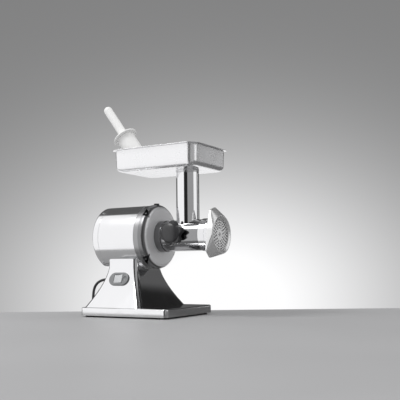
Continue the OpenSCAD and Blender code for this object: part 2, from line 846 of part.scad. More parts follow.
module counter_bushes() {
    color("peru") translate([0, 0, -gear_a]) {
        ring(counter_shaft_r + 3, counter_shaft_r + run_gap, 3, casting_wall);
        ring(counter_shaft_r + 3, counter_shaft_r + run_gap, gearbox_plate_y,
            gearbox_plate_y + 5.8);
    }
}

module output_gear() {
    color("goldenrod") gear(output_teeth, -90 + 180 / output_teeth, output_shaft_r, gear_a1);
}

module output_shaft() {
    color("silver") difference() {
        ring(output_shaft_r, 0, output_front, gear_a1 + gear_w);
        on_axis(output_front + tang_len + 0.5) translate([-tang_w / 2, -tang_w / 2, 0])
            cube([tang_w, tang_w, tang_len + 2]);
    }
}

output_bearing_r = 23;
output_bearing_w = 9;
output_bearing_at = -5;
oil_seal_w = 7.8;
oil_seal_at = output_front + 4;

module output_bearings() {
    color("silver") {
        for (y = [output_bearing_at - output_bearing_w, oil_seal_at + oil_seal_w + 0.2])
            ring(output_bearing_r, output_shaft_r + run_gap, y, y + output_bearing_w);
    }
}

module oil_seal() {
    color("black") ring(output_bearing_r, output_shaft_r + run_gap, oil_seal_at,
        oil_seal_at + oil_seal_w);
}

casting_angles = [pocket_angle, 180 - pocket_angle, 180 + pocket_angle, 360 - pocket_angle];

casting_screw_r = 2.4;
casting_case_r = 58;
spigot_root_r = 27;
plug_y = 17;
plug_head_r = 7;
pocket_floor = 3 - casting_len;

module front_casting() {
    edge_r = casting_edge_r;
    color("silver") difference() {
        on_axis(0) rotate_extrude() difference() {
            union() {
                translate([spigot_root_r, -casting_len])
                    square([casting_face_r - spigot_root_r, casting_len]);
                translate([spigot_root_r, -casting_len])
                    square([casting_r - spigot_root_r, casting_len - edge_r]);
                translate([casting_face_r, -edge_r]) intersection() {
                    circle(r = edge_r);
                    translate([-edge_r, -1]) square(2 * edge_r + 2);
                }
            }
            // the gear case
            translate([spigot_root_r - 1, -casting_len - 1])
                square([casting_case_r - spigot_root_r + 1, casting_len - casting_wall + 1]);
        }
        // room for the countershaft's wheel, and the seat of its front bush
        translate([0, 0, -gear_a]) {
            ring(gear_m * (wheel_teeth / 2 + 2), 0, casting_wall + 3, casting_len + 1);
            ring(counter_shaft_r + 3, 0, 3, casting_wall + 4);
        }
        // bolt pockets, each open outwards behind a slanting wall
        for (a = casting_angles) on_axis(0) rotate(a) bolt_pocket(sin(2 * a) > 0 ? 1 : -1);
        // oil filler hole and the flat that its plug sits on
        translate([0, plug_y, axis_z + casting_case_r - 5])
            cylinder(r = 2.5, h = 40, $fn = 32);
        translate([0, plug_y, axis_z + drum_r]) cylinder(r = plug_head_r, h = 10);
    }
}

// A three-cornered pocket in the casting's edge with room for a bolt's head
module bolt_pocket(side) {
    translate([casting_bolt_r - 4.5, 0, 0]) rotate([90, 0, 90]) linear_extrude(20)
        polygon([[-15 * side, pocket_floor], [15 * side, pocket_floor], [-15 * side, 2]]);
    translate([casting_bolt_r, 0, -casting_len - 1])
        cylinder(r = casting_screw_r, h = 10, $fn = 32);
}

module casting_bolts() {
    color("silver") for (a = casting_angles) on_axis(0) rotate(a)
        translate([casting_bolt_r, 0, pocket_floor])
            screw(casting_screw_r, ring_rear + pocket_floor - 2, 3.3, 3);
}

module oil_plug() {
    color("black") translate([0, plug_y, axis_z + drum_r]) {
        cylinder(r = plug_head_r, h = 5);
        translate([0, 0, -10]) cylinder(r = 2.5, h = 11, $fn = 32);
    }
}

module head_spigot() {
    color("silver") difference() {
        union() {
            ring(spigot_root_r, 0, -1, casting_wall);
            ring(barrel_r + 1, 0, -seat_len, 0);
            ring(spigot_r, 0, -spigot_len, -seat_len + 1);
        }
        ring(output_bearing_r + run_gap, 0, -spigot_len - 1, -4.9);
        ring(output_shaft_r + 1, 0, -20, casting_wall + 1);
    }
}

// ---------------------------------------------------------------- head

module head_barrel() {
    skirt_r = spigot_r + slide_gap;
    y_rear = -seat_len - seat_gap;
    color("silver") difference() {
        union() {
            ring(barrel_r, 0, -126, y_rear);
            ring(collar_r, 0, mouth_wall_rear, -126);
            ring(mouth_wall_r, 0, mouth_front, mouth_wall_rear);
            // pad for the lock stud
            translate([-barrel_r - 4, -knob_reach, knob_z]) rotate([0, 90, 0])
                cylinder(r = stud_pad_r, h = 8);
        }
        ring(skirt_r, 0, web_y, 1);
        ring(auger_neck_r + run_gap + bush_wall, 0, chamber_rear - 1, web_y + 1);
        ring(chamber_r, 0, mouth_front - 1, chamber_rear);
        ring(mouth_r, 0, mouth_front - 1, mouth_back);
        // throat under the neck tube
        translate([0, -neck_reach, axis_z]) throat_cut();
        // hole for the lock stud
        translate([-barrel_r - 10, -knob_reach, knob_z]) rotate([0, 90, 0])
            cylinder(r = stud_r + run_gap, h = 30);
        // slot for the pin that keeps the plate from turning
        translate([0, mouth_front - 1, axis_z + pin_at]) rotate([-90, 0, 0])
            cylinder(r = pin_r, h = plate_t - 1, $fn = 32);
    }
}

// The opening from the neck down into the chamber, stopped at the web
module throat_cut() {
    intersection() {
        cylinder(r = neck_in_r, h = collar_r + 10);
        translate([-barrel_r, chamber_rear + neck_reach - 2 * barrel_r, 0])
            cube([2 * barrel_r, 2 * barrel_r, collar_r + 10]);
    }
}

module neck_tube() {
    color("silver") difference() {
        translate([0, -neck_reach, axis_z]) cylinder(r = neck_r, h = neck_top - axis_z);
        translate([0, -neck_reach, axis_z - 1]) cylinder(r = neck_in_r, h = neck_top - axis_z + 2);
        ring(barrel_r, 0, -neck_reach - 60, -neck_reach + 60);
    }
}

module rear_bush() {
    color("peru") ring(auger_neck_r + run_gap + bush_wall, auger_neck_r + run_gap,
        chamber_rear, web_y);
}

// The ball whose cap is the knob's domed cover
dome_ball_r = (dome_r * dome_r + dome_h * dome_h) / 2 / dome_h;

module lock_knob() {
    lobe_r = 8.5;
    color("black") translate([knob_x, -knob_reach, knob_z]) rotate([0, -90, 0])
        difference() {
            union() {
                rotate_extrude() {
                    square([dome_r, knob_t]);
                    intersection() {
                        translate([0, knob_t + dome_h - dome_ball_r]) circle(r = dome_ball_r);
                        translate([0, knob_t - 1]) square([dome_r - 0.5, dome_h + 2]);
                    }
                }
                for (k = [0:knob_lobes - 1]) rotate(360 / knob_lobes * k + 15)
                    translate([knob_r - lobe_r, 0, 0])
                        cylinder(r = lobe_r, h = knob_t - 1, $fn = 32);
            }
            translate([0, 0, -1]) cylinder(r = stud_r, h = 11);
        }
}

module lock_stud() {
    stud_back = knob_x - 10;
    color("silver") translate([stud_back, -knob_reach, knob_z]) rotate([0, 90, 0])
        cylinder(r = stud_r, h = -spigot_r - 0.3 - stud_back);
}

module auger() {
    color("silver") {
        ring(auger_core_r, 0, auger_front, chamber_rear + 0.01);
        ring(auger_neck_r, 0, chamber_rear, web_y + 1);
        // square tang in the output shaft's socket
        on_axis(output_front + tang_len) translate([-tang_w / 2 + 0.1, -tang_w / 2 + 0.1, 0])
            cube([tang_w - 0.2, tang_w - 0.2, tang_len + output_front - web_y + 1]);
        // square that drives the knife, and the pin that runs in the plate
        on_axis(auger_front + 0.01) translate([-6.5, -6.5, 0]) cube([13, 13, knife_t]);
        ring(auger_pin_r, 0, plate_front + 1, auger_front);
        flight_len = chamber_rear - 1 - auger_front;
        on_axis(chamber_rear - 1) linear_extrude(flight_len, twist = 360 * 2.25,
            slices = 54, $fn = 8) flight_2d();
    }
}

// The screw thread's cross-section: a blade that thins towards its rim
module flight_2d() {
    tip_r = chamber_r - 1;
    polygon(concat(
        [for (a = [-34, -17, 0, 17, 34]) (auger_core_r - 1) * [cos(a), sin(a)]],
        [for (a = [13, 0, -13]) tip_r * [cos(a), sin(a)]]));
}

module thrust_washer() {
    color("white") ring(auger_core_r + 6, auger_neck_r + 0.2, chamber_rear - 0.9,
        chamber_rear - 0.1);
}

module knife() {
    color("silver") difference() {
        union() {
            ring(13, 0, plate_back + 0.15, knife_back);
            for (a = [0:90:270]) on_axis(knife_back) rotate(a)
                translate([0, -6, 0]) cube([plate_r - 3, 9, knife_t - 0.15]);
        }
        on_axis(knife_back + 1) translate([-6.6, -6.6, 0]) cube([13.2, 13.2, knife_t + 2]);
    }
}

module hole_plate() {
    color("silver") difference() {
        ring(plate_r, auger_pin_r + run_gap, plate_front, plate_back);
        for (n = [plate_first_ring:plate_last_ring]) for (i = [0:6 * n - 1])
            on_axis(plate_back + 1) rotate(i * 60 / n + 4 * n)
                translate([plate_ring_base + plate_ring_step * n, 0, 0])
                    cylinder(r = plate_hole_r, h = plate_t + 2, $fn = 16);
        translate([0, plate_front - 1, axis_z + pin_at]) rotate([-90, 0, 0])
            cylinder(r = pin_r + 0.3, h = plate_t + 2, $fn = 32);
    }
}

module locating_pin() {
    color("silver") translate([0, mouth_front + 0.2, axis_z + pin_at]) rotate([-90, 0, 0])
        cylinder(r = pin_r, h = plate_t - 2.2, $fn = 32);
}

// A round nut with three blunt lugs that thin towards their ends
module ring_nut() {
    color("lightgray") difference() {
        hull() {
            on_axis(nut_rear) {
                cylinder(r = nut_r, h = lug_t);
                for (a = [0, 120, 240], s = [-1, 1]) rotate(90 + lug_turn + a)
                    translate([lug_reach - lug_corner_r, s * (lug_w / 2 - lug_corner_r), 0])
                        cylinder(r = lug_corner_r, h = lug_t, $fn = 32);
            }
            on_axis(1 - head_reach) cylinder(r = nut_face_r, h = 1);
        }
        ring(nut_in_r, 0, plate_front - 0.2, nut_rear + 1);
        ring(nut_bore_r, 0, -head_reach - 1, nut_rear);
        // the opening's slanting edge
        on_axis(nut_chamfer - head_reach)
            cylinder(r1 = nut_bore_r, r2 = nut_bore_r + 2 * nut_chamfer, h = nut_chamfer + eps);
    }
}

// ---------------------------------------------------------------- tray and stomper

// How far the tray's wall lies in at a height above its floor
function tray_in(h) = tray_taper * (1 - h / tray_depth)
    + (h < tray_edge_r
        ? tray_edge_r - sqrt(pow(tray_edge_r, 2) - pow(tray_edge_r - h, 2)) : 0);

// The tray's body as a solid, its wall and floor set in by a thickness
module tray_form(inset) {
    hs = concat([for (t = [0, 22.5, 45, 67.5]) tray_edge_r * (1 - cos(t))],
        [tray_edge_r, tray_depth - inset + (inset > 0 ? 1 : 0)]);
    loft([for (h = hs) let(e = tray_in(h) + tray_rim_w + inset)
        level(tray_w / 2 - e, tray_y1 + e, tray_y2 - e, tray_corner_r - e / 3,
            tray_floor_z + inset + h)]);
}

module feed_tray() {
    color("lightgray") difference() {
        union() {
            tray_form(0);
            translate([0, tray_mid, tray_rim_z - tray_t]) linear_extrude(tray_t)
                round_rect(tray_w, tray_l, tray_corner_r + tray_rim_w);
        }
        tray_form(tray_t);
        translate([0, -neck_reach, tray_floor_z - 1]) cylinder(r = spout_r, h = 6);
    }
}

// The spout that stands in the neck, with the collar that rests on it
module tray_spout() {
    color("lightgray") translate([0, -neck_reach, tray_floor_z - spout_len]) difference() {
        union() {
            cylinder(r = spout_r, h = spout_len + tray_t);
            translate([0, 0, spout_len - neck_collar_h])
                cylinder(r = neck_r + 0.5, h = neck_collar_h);
        }
        translate([0, 0, -1]) cylinder(r = spout_r - tray_t, h = spout_len + 5);
    }
}

module stomper() {
    color("white") translate([stomper_x, stomper_foot_y, stomper_foot_z])
        rotate([-stomper_lean, 0, 0]) rotate_extrude() {
            translate([0, 2]) square([plunger_r, plunger_len - 2]);
            square([plunger_r - 2, plunger_len]);
            translate([plunger_r - 2, 2]) circle(r = 2);
            translate([0, plunger_len]) square([flange_r - flange_t / 2, flange_t]);
            translate([flange_r - flange_t / 2, plunger_len + flange_t / 2])
                intersection() {
                    circle(d = flange_t);
                    translate([-1, -flange_t]) square(2 * flange_t);
                }
            translate([0, plunger_len]) square([handle_r, flange_t + handle_len - handle_r]);
            translate([0, plunger_len + flange_t + handle_len - handle_r]) intersection() {
                circle(r = handle_r);
                translate([0, -handle_r]) square(2 * handle_r);
            }
        }
}

plinth();
pedestal();
bottom_plate();
feet();
foot_screws();
switch_bezel();
switch_body();
switch_rocker();
capacitor();
capacitor_clip();
terminal_block();
strain_relief();
power_cord();
cord_coil();
cord_tie();
power_plug();
plug_pins();
saddle_plate();
saddle_bolts();
gearbox_ring();
drum_shell();
rear_cap();
rear_cap_screws();
rear_shield();
rear_bearing();
fan();
stator_core();
stator_windings();
rotor();
motor_shaft();
motor_pinion();
gearbox_plate();
front_bearing();
counter_shaft();
counter_gear();
counter_pinion();
counter_bushes();
output_gear();
output_shaft();
output_bearings();
oil_seal();
front_casting();
casting_bolts();
oil_plug();
head_spigot();
head_barrel();
neck_tube();
rear_bush();
lock_knob();
lock_stud();
auger();
thrust_washer();
knife();
hole_plate();
locating_pin();
ring_nut();
feed_tray();
tray_spout();
stomper();
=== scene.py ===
import json
import math

import bmesh
import bpy
import numpy as np
from mathutils import Matrix, Vector


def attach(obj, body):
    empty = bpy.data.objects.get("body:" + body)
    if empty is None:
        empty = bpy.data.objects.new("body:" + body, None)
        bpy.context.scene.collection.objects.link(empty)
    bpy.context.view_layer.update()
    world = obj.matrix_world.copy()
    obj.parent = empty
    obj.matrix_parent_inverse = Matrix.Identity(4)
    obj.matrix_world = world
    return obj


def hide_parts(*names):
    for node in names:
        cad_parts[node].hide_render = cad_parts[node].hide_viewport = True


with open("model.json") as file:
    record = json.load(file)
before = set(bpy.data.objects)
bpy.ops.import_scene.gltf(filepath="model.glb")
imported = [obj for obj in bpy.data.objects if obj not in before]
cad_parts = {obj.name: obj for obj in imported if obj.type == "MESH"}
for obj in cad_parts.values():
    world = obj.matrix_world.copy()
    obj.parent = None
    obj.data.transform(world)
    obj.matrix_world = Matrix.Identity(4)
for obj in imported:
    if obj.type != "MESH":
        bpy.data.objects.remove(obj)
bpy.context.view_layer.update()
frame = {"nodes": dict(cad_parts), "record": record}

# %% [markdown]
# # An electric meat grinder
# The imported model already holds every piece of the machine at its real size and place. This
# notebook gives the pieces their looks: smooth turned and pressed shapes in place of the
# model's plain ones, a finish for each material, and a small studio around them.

nodes = frame["nodes"]
MM = 0.001
print("pieces in the model:", len(nodes))

# %% [markdown]
# ## The camera
# A product shot is taken with a long lens from far off, so that upright edges stay upright.
# The camera stands low at the machine's front left and looks slightly up. Its axes are worked
# out from a compass angle, a pitch and a small roll, which is easier to read than a matrix.

# %% The camera
view_azimuth, view_pitch, view_roll = math.radians(60.27), math.radians(5.49), math.radians(-0.61)
forward = Vector((math.sin(view_azimuth) * math.cos(view_pitch),
                  math.cos(view_azimuth) * math.cos(view_pitch), math.sin(view_pitch)))
level_right = Vector((math.cos(view_azimuth), -math.sin(view_azimuth), 0))
level_up = level_right.cross(forward)
right = level_right * math.cos(view_roll) + level_up * math.sin(view_roll)
up = level_up * math.cos(view_roll) - level_right * math.sin(view_roll)

camera_data = bpy.data.cameras.new("camera")
camera_data.sensor_width = 36
camera_data.lens = 61.97
camera_data.clip_end = 50
camera = bpy.data.objects.new("camera", camera_data)
bpy.context.scene.collection.objects.link(camera)
camera.matrix_world = Matrix((
    (right.x, up.x, -forward.x, -1.4861),
    (right.y, up.y, -forward.y, -0.96106),
    (right.z, up.z, -forward.z, 0.12428),
    (0, 0, 0, 1)))
bpy.context.scene.camera = camera
print("lens", camera_data.lens, "mm, camera", round(camera.location.length, 2), "m away")

# %% [markdown]
# ## The power cord
# A mains lead is one long tube of rubber. It leaves the pedestal straight, sags to the table,
# and its spare length is wound into a coil with a strap, as for storage. A curve with a round
# bevel makes the whole lead in one piece: a list of points for the free stretch, and a loop
# for the turns, which step from one column or layer to the next during the last part of a turn.

# %% The power cord
cord_r = 3.5
route = [(0, 151, 92), (0, 168, 92), (0, 182, 91.5), (0, 194, 89.5), (0, 204, 85.5),
         (0, 212, 79.5), (0, 218.5, 71), (0, 222, 60), (0, 223, 46), (0, 224, 33), (2, 227.5, 21),
         (8, 233, 11), (18, 239, 5.5), (30, 243, 3.6), (44, 246, 3.6), (60, 248, 3.6)]
coil_middle = (134, 228)
coil_turn_r = 38.5
outer_turn, inner_turn = coil_turn_r + cord_r, coil_turn_r - cord_r
turns = [(outer_turn, 1), (inner_turn, 1), (inner_turn, 3), (outer_turn, 3),
         (inner_turn, 5), (outer_turn, 5)]


def coil_points(start_angle, per_turn=24):
    """The turns, wound clockwise from the start angle round to the coil's right side."""
    points = []
    total = len(turns) * 360 + start_angle
    for i in range(int(total / 360 * per_turn) + 1):
        done = i * 360 / per_turn
        here = min(int(done // 360), len(turns) - 1)
        after = min(here + 1, len(turns) - 1)
        step = min(1, max(0, (done / 360 - here - 0.8) / 0.2)) if here < after else 0
        step = step * step * (3 - 2 * step)
        r = turns[here][0] + (turns[after][0] - turns[here][0]) * step
        z = cord_r * (turns[here][1] + (turns[after][1] - turns[here][1]) * step) + 0.05
        a = math.radians(start_angle - done)
        points.append((coil_middle[0] + r * math.cos(a), coil_middle[1] + r * math.sin(a), z))
    return points


coil_exit = (coil_middle[0] + outer_turn, coil_middle[1])
tail = [(coil_exit[0], coil_exit[1] - 12, 15.8), (coil_exit[0], coil_exit[1] - 23, 13.8),
        (coil_exit[0], coil_exit[1] - 33, 13)]
start_angle = 125
lead_in = [(78, 252, 3.6), (94, 257, 3.6)]
cord_line = [Vector(p) * MM for p in route + lead_in + coil_points(start_angle) + tail]

cord_curve = bpy.data.curves.new("power_lead", "CURVE")
cord_curve.dimensions = "3D"
cord_curve.bevel_depth = cord_r * MM
cord_curve.bevel_resolution = 4
cord_curve.resolution_u = 3
cord_curve.use_fill_caps = True
spline = cord_curve.splines.new("NURBS")
spline.points.add(len(cord_line) - 1)
for knot, place in zip(spline.points, cord_line):
    knot.co = (*place, 1)
spline.order_u = 4
spline.use_endpoint_u = True
power_lead = bpy.data.objects.new("power_lead", cord_curve)
bpy.context.scene.collection.objects.link(power_lead)

# %% [markdown]
# ## Shader maths written as Python
# Procedural finishes are sums and products of patterns. Wrapping a node's output in a small
# class lets that maths be written as an expression, and each operator adds its Math node.

# %% Values and trees
class Value:
    """An output socket that adds, subtracts, multiplies and divides by adding Math nodes."""

    def __init__(self, tree, socket):
        self.tree, self.socket = tree, socket

    def maths(self, operation, *others):
        node = self.tree.nodes.new("ShaderNodeMath")
        node.operation = operation
        for slot, value in zip(node.inputs, (self, *others)):
            put(self.tree, slot, value)
        return Value(self.tree, node.outputs[0])

    def __add__(self, other): return self.maths("ADD", other)
    def __radd__(self, other): return self.maths("ADD", other)
    def __sub__(self, other): return self.maths("SUBTRACT", other)
    def __rsub__(self, other): return Value.maths(self * -1, "ADD", other)
    def __mul__(self, other): return self.maths("MULTIPLY", other)
    def __rmul__(self, other): return self.maths("MULTIPLY", other)
    def __truediv__(self, other): return self.maths("DIVIDE", other)

    def between(self, low, high):
        """0 below low, 1 above high, and a smooth step from one to the other."""
        node = self.tree.nodes.new("ShaderNodeMapRange")
        node.interpolation_type = "SMOOTHSTEP"
        for name, value in (("Value", self), ("From Min", low), ("From Max", high)):
            put(self.tree, node.inputs[name], value)
        return Value(self.tree, node.outputs["Result"])


def put(tree, socket, value):
    """Links a Value to a socket, or sets a plain number, vector or colour on it."""
    if isinstance(value, Value):
        tree.links.new(value.socket, socket)
    elif isinstance(value, (tuple, list)) and len(value) == 3 and socket.type == "RGBA":
        socket.default_value = (*value, 1)
    else:
        socket.default_value = value


class Finish:
    """A material under construction, with short ways to add its patterns."""

    def __init__(self, name, tree=None):
        self.material = None
        if tree is None:
            self.material = bpy.data.materials.new(name)
            self.material.use_nodes = True
            tree = self.material.node_tree
        self.tree = tree

    def node(self, kind, settings=None, sockets=None, out=0):
        """A node of any kind: its settings first, then its sockets, by name or index."""
        node = self.tree.nodes.new(kind)
        for name, value in (settings or {}).items():
            setattr(node, name, value)
        for name, value in (sockets or {}).items():
            put(self.tree, node.inputs[name], value)
        return Value(self.tree, node.outputs[out])

    def place(self):
        return self.node("ShaderNodeTexCoord", out="Object")

    def parts(self, vector):
        split = self.tree.nodes.new("ShaderNodeSeparateXYZ")
        put(self.tree, split.inputs[0], vector)
        return [Value(self.tree, s) for s in split.outputs]

    def vector(self, x, y, z):
        return self.node("ShaderNodeCombineXYZ", sockets={0: x, 1: y, 2: z})

    def noise(self, vector, scale=1.0, detail=2.0, roughness=0.5):
        return self.node("ShaderNodeTexNoise", sockets={
            "Vector": vector, "Scale": scale, "Detail": detail, "Roughness": roughness})

    def blend(self, factor, first, second):
        """A colour between two colours."""
        return self.node("ShaderNodeMix", {"data_type": "RGBA"},
                         {0: factor, 6: first, 7: second}, out=2)

    def bump(self, height, depth, strength=1.0):
        """Turns a height of 0 to 1 into a relief of the given depth in metres."""
        return self.node("ShaderNodeBump", sockets={
            "Height": height, "Distance": depth, "Strength": strength})

    def surface(self, **sockets):
        """Sets the surface's sockets; an underscore in a name stands for a space."""
        shader = self.tree.nodes["Principled BSDF"]
        for name, value in sockets.items():
            put(self.tree, shader.inputs[name.replace("_", " ")], value)
        return self.material


# %% [markdown]
# ## Steel
# Bare metal has hardly any colour of its own: what tells a mirror polish from a brushed or a
# blasted sheet is its roughness and the direction of its scratches. So one function makes every
# steel: a tone, a roughness, and a direction along which fine lines run. Noise stretched a
# thousandfold across that direction gives the lines, and a slow noise gives faint wiping marks.

# %% Grains
def along(direction):
    """Lines that run along X, Y or Z: slow along that axis and fast across the other two."""
    fast, slow = 900, 7
    speeds = [slow if axis == direction else fast for axis in "XYZ"]

    def pattern(finish):
        x, y, z = finish.parts(finish.place())
        return finish.noise(finish.vector(x * speeds[0], y * speeds[1], z * speeds[2]))
    return pattern


def around_drum(finish):
    """Rings left by turning about the drum's axis: fast along Y, slow round it."""
    x, y, z = finish.parts(finish.place())
    return finish.noise(finish.vector(x * 9, y * 1400, z * 9))


def around_neck(finish):
    x, y, z = finish.parts(finish.place())
    return finish.noise(finish.vector(x * 9, y * 9, z * 1400))


AXIS_Z = 0.201


def faced(finish):
    """Rings round the drum's axis on a face that was turned flat."""
    x, y, z = finish.parts(finish.place())
    z = z - AXIS_Z
    radius = (x * x + z * z).maths("SQRT")
    return finish.noise(finish.vector(radius * 1100 + y * 1100, x * 7, z * 7))


def speckle(finish):
    """The even fine grain of a blasted or cast surface."""
    return finish.noise(finish.place(), scale=1500, detail=3)


# %% Steel
def steel(name, tone, roughness, grain=speckle, depth=0.000004, smudge=0.06, contrast=0.08,
          metallic=1.0):
    """A finish of bare metal; a blasted or brushed one scatters, so it counts as less metallic."""
    finish = Finish(name)
    lines = grain(finish)
    wiped = finish.noise(finish.place(), scale=26, detail=3).between(0.35, 0.75)
    rough = roughness + smudge * wiped + 0.06 * (lines - 0.5)
    colour = finish.blend(lines, [c * (1 - contrast) for c in tone], tone)
    return finish.surface(Base_Color=colour, Metallic=metallic, Roughness=rough,
                          Normal=finish.bump(lines, depth, 0.5))


def casting_with_shaded_side(name, face_tone, shaded_side_tone):
    """A casting whose turned end face keeps a bright tone, while its side is painted a much darker tone as
    shade.
    """
    finish = Finish(name)
    x, y, z = finish.parts(finish.place())
    side = y.between(0.0015, 0.004)
    rings, grain = faced(finish), speckle(finish)
    bright = finish.blend(rings, [c * 0.94 for c in face_tone], face_tone)
    # The side's dark tone is painted shade.
    painted_shade_side = finish.blend(grain, [c * 0.8 for c in shaded_side_tone], shaded_side_tone)
    return finish.surface(Base_Color=finish.blend(side, bright, painted_shade_side), Metallic=0.3 + 0.7 * side,
                          Roughness=0.30 + 0.04 * side + 0.06 * (rings - 0.5),
                          Normal=finish.bump(rings, 0.000002, 0.5))


def polished_tube(name, shaded_tube_tone, mouth_tone):
    """A polished tube whose body behind the wider mouth is painted much darker than the mouth, as painted
    shade.
    """
    finish = Finish(name)
    x, y, z = finish.parts(finish.place())
    lines = around_drum(finish)
    # Behind the mouth the tube gets a far darker tone: painted shade.
    body = y.between(-0.1275, -0.1265)
    tone = finish.blend(body, mouth_tone, shaded_tube_tone)
    return finish.surface(Base_Color=finish.blend(0.05 * lines, tone, (0, 0, 0)), Metallic=1.0,
                          Roughness=0.10 + 0.05 * lines, Normal=finish.bump(lines, 0.000001, 0.5))


mirror_sheet = steel("mirror_sheet", (0.86, 0.86, 0.87), 0.07, along("Y"), 0.000001, 0.05, 0.03)
turned_drum = steel("turned_drum", (0.86, 0.86, 0.87), 0.13, around_drum, 0.000001, 0.05, 0.04)
polished_neck = steel("polished_neck", (0.84, 0.84, 0.85), 0.05, around_neck, 0.000001, 0.04, 0.03)
# The barrel's dark tube tone is painted shade; the mouth keeps the steel's own bright tone.
polished_barrel = polished_tube("polished_barrel", (0.30, 0.30, 0.305), (0.80, 0.80, 0.81))
# The casting's dark side tone is painted shade.
faced_casting = casting_with_shaded_side("faced_casting", (0.88, 0.88, 0.89), (0.27, 0.27, 0.275))
cast_ring = steel("cast_ring", (0.36, 0.36, 0.365), 0.30, speckle, 0.000002, 0.05)
polished_collar = steel("polished_collar", (0.26, 0.26, 0.265), 0.10, around_drum, 0.000001, 0.05)
tray_sheet = steel("tray_sheet", (0.90, 0.90, 0.91), 0.25, along("Y"), 0.0000004, 0.04, 0.03, 0.85)
satin_nut = steel("satin_nut", (0.84, 0.84, 0.84), 0.24, speckle, 0.000002, 0.06, 0.04, 0.7)
ground_plate = steel("ground_plate", (0.95, 0.95, 0.95), 0.28, along("X"), 0.000002, 0.06, 0.05,
                     0.4)
# Near-black steel for the walls of the plate's holes: painted shade.
shaded_bore = steel("shaded_bore", (0.015, 0.015, 0.015), 0.6, speckle, 0.000004)
tinned_screw = steel("tinned_screw", (0.66, 0.66, 0.67), 0.34, speckle, 0.00003, 0.12)
bright_screw = steel("bright_screw", (0.74, 0.74, 0.76), 0.16, faced, 0.000002)
ground_bearing = steel("ground_bearing", (0.70, 0.70, 0.72), 0.14, faced, 0.000002)
machined_steel = steel("machined_steel", (0.60, 0.60, 0.63), 0.24, around_drum, 0.000004)
zinc_sheet = steel("zinc_sheet", (0.60, 0.62, 0.64), 0.38, along("X"), 0.000006, 0.14, 0.18)
die_casting = steel("die_casting", (0.58, 0.58, 0.59), 0.46, speckle, 0.00003, 0.12, 0.15)
bronze = steel("bronze", (0.66, 0.46, 0.24), 0.30, faced, 0.000004, 0.10, 0.15)
bearing_bronze = steel("bearing_bronze", (0.58, 0.38, 0.20), 0.40, speckle, 0.00002, 0.12, 0.2)


# %% [markdown]
# ## Laminations and windings
# The motor's core is a stack of stamped sheets half a millimetre thick, and its coil ends are
# bundles of varnished copper wire. Both are stripes: across the drum's axis for the sheets,
# and round it for the wires, so one height pattern each is enough.

# %% Laminations and windings
def laminations():
    finish = Finish("laminations")
    x, y, z = finish.parts(finish.place())
    sheet = (y * 2000).maths("FRACT")
    gap = sheet.between(0.0, 0.25) * (1 - sheet.between(0.75, 1.0))
    shade = finish.noise(finish.place(), scale=90, detail=2)
    colour = finish.blend(gap * shade, (0.10, 0.10, 0.11), (0.46, 0.46, 0.48))
    return finish.surface(Base_Color=colour, Metallic=1.0, Roughness=0.5 - 0.14 * gap,
                          Normal=finish.bump(gap, 0.00008, 0.6))


def copper_wire():
    finish = Finish("copper_wire")
    x, y, z = finish.parts(finish.place())
    z = z - AXIS_Z
    radius = (x * x + z * z).maths("SQRT")
    strand = ((radius * 1250 + 3 * finish.noise(finish.place(), scale=30)).maths("FRACT") - 0.5)
    round_wire = 1 - strand * strand * 4
    across = 1 - ((y * 1250).maths("FRACT") * 2 - 1).maths("POWER", 2)
    wires = round_wire * across
    colour = finish.blend(wires, (0.13, 0.045, 0.015), (0.62, 0.26, 0.10))
    return finish.surface(Base_Color=colour, Metallic=0.85, Roughness=0.42 - 0.12 * wires,
                          Coat_Weight=0.5, Normal=finish.bump(wires, 0.0003, 0.7))


lamination_stack = laminations()
winding_copper = copper_wire()
print("metal finishes:", len(bpy.data.materials))


# %% [markdown]
# ## Plastics and rubber
# A moulded part carries the fine spark-eroded texture of its mould, and rubber is duller and a
# little dusty in places. One function takes the colour, the gloss and how coarse the texture is.

# %% Plastics and rubber
def moulded(name, colour, roughness, texture=1400, depth=0.00003, dust=0.02, coat=0.0):
    finish = Finish(name)
    grain = finish.noise(finish.place(), scale=texture, detail=2)
    patch = finish.noise(finish.place(), scale=38, detail=4).between(0.4, 0.8)
    dusty = [min(1.0, c + dust) for c in colour]
    shade = finish.blend(patch, colour, dusty)
    rough = roughness + 0.08 * patch + 0.05 * (grain - 0.5)
    return finish.surface(Base_Color=shade, Roughness=rough, Coat_Weight=coat,
                          Normal=finish.bump(grain, depth, 0.5))


def turned_polyethylene():
    """White plastic turned on a lathe: faint rings round the stomper's own axis."""
    finish = Finish("turned_polyethylene")
    lean = math.radians(36)
    x, y, z = finish.parts(finish.place())
    length = y * math.sin(lean) + z * math.cos(lean)
    rings = finish.noise(finish.vector(x * 5, length * 240, 0.0))
    patch = finish.noise(finish.place(), scale=24, detail=3)
    colour = finish.blend(patch, (0.90, 0.90, 0.89), (0.94, 0.94, 0.93))
    return finish.surface(Base_Color=colour, Roughness=0.40 + 0.04 * rings,
                          Normal=finish.bump(rings, 0.000001, 0.5))


knob_plastic = moulded("knob_plastic", (0.034, 0.034, 0.036), 0.30, 1500, 0.00004, 0.012)
black_plastic = moulded("black_plastic", (0.028, 0.028, 0.030), 0.40)
switch_plastic = moulded("switch_plastic", (0.23, 0.235, 0.24), 0.34, 1500, 0.00003, 0.03)
rocker_plastic = moulded("rocker_plastic", (0.62, 0.63, 0.64), 0.26, 1800, 0.00001, 0.03, 0.3)
white_plastic = moulded("white_plastic", (0.80, 0.80, 0.78), 0.40, 900, 0.00002)
ivory_plastic = moulded("ivory_plastic", (0.72, 0.66, 0.52), 0.42, 900, 0.00003)
foot_rubber = moulded("foot_rubber", (0.022, 0.022, 0.023), 0.62, 1100, 0.00006, 0.03)
strap_plastic = moulded("strap_plastic", (0.05, 0.05, 0.055), 0.5, 1300)
polyethylene = turned_polyethylene()
print("with plastics and rubber:", len(bpy.data.materials))


# %% [markdown]
# ## Rubber-sheathed cord
# The lead's sheath has a slight waviness along it from the cores twisted inside.

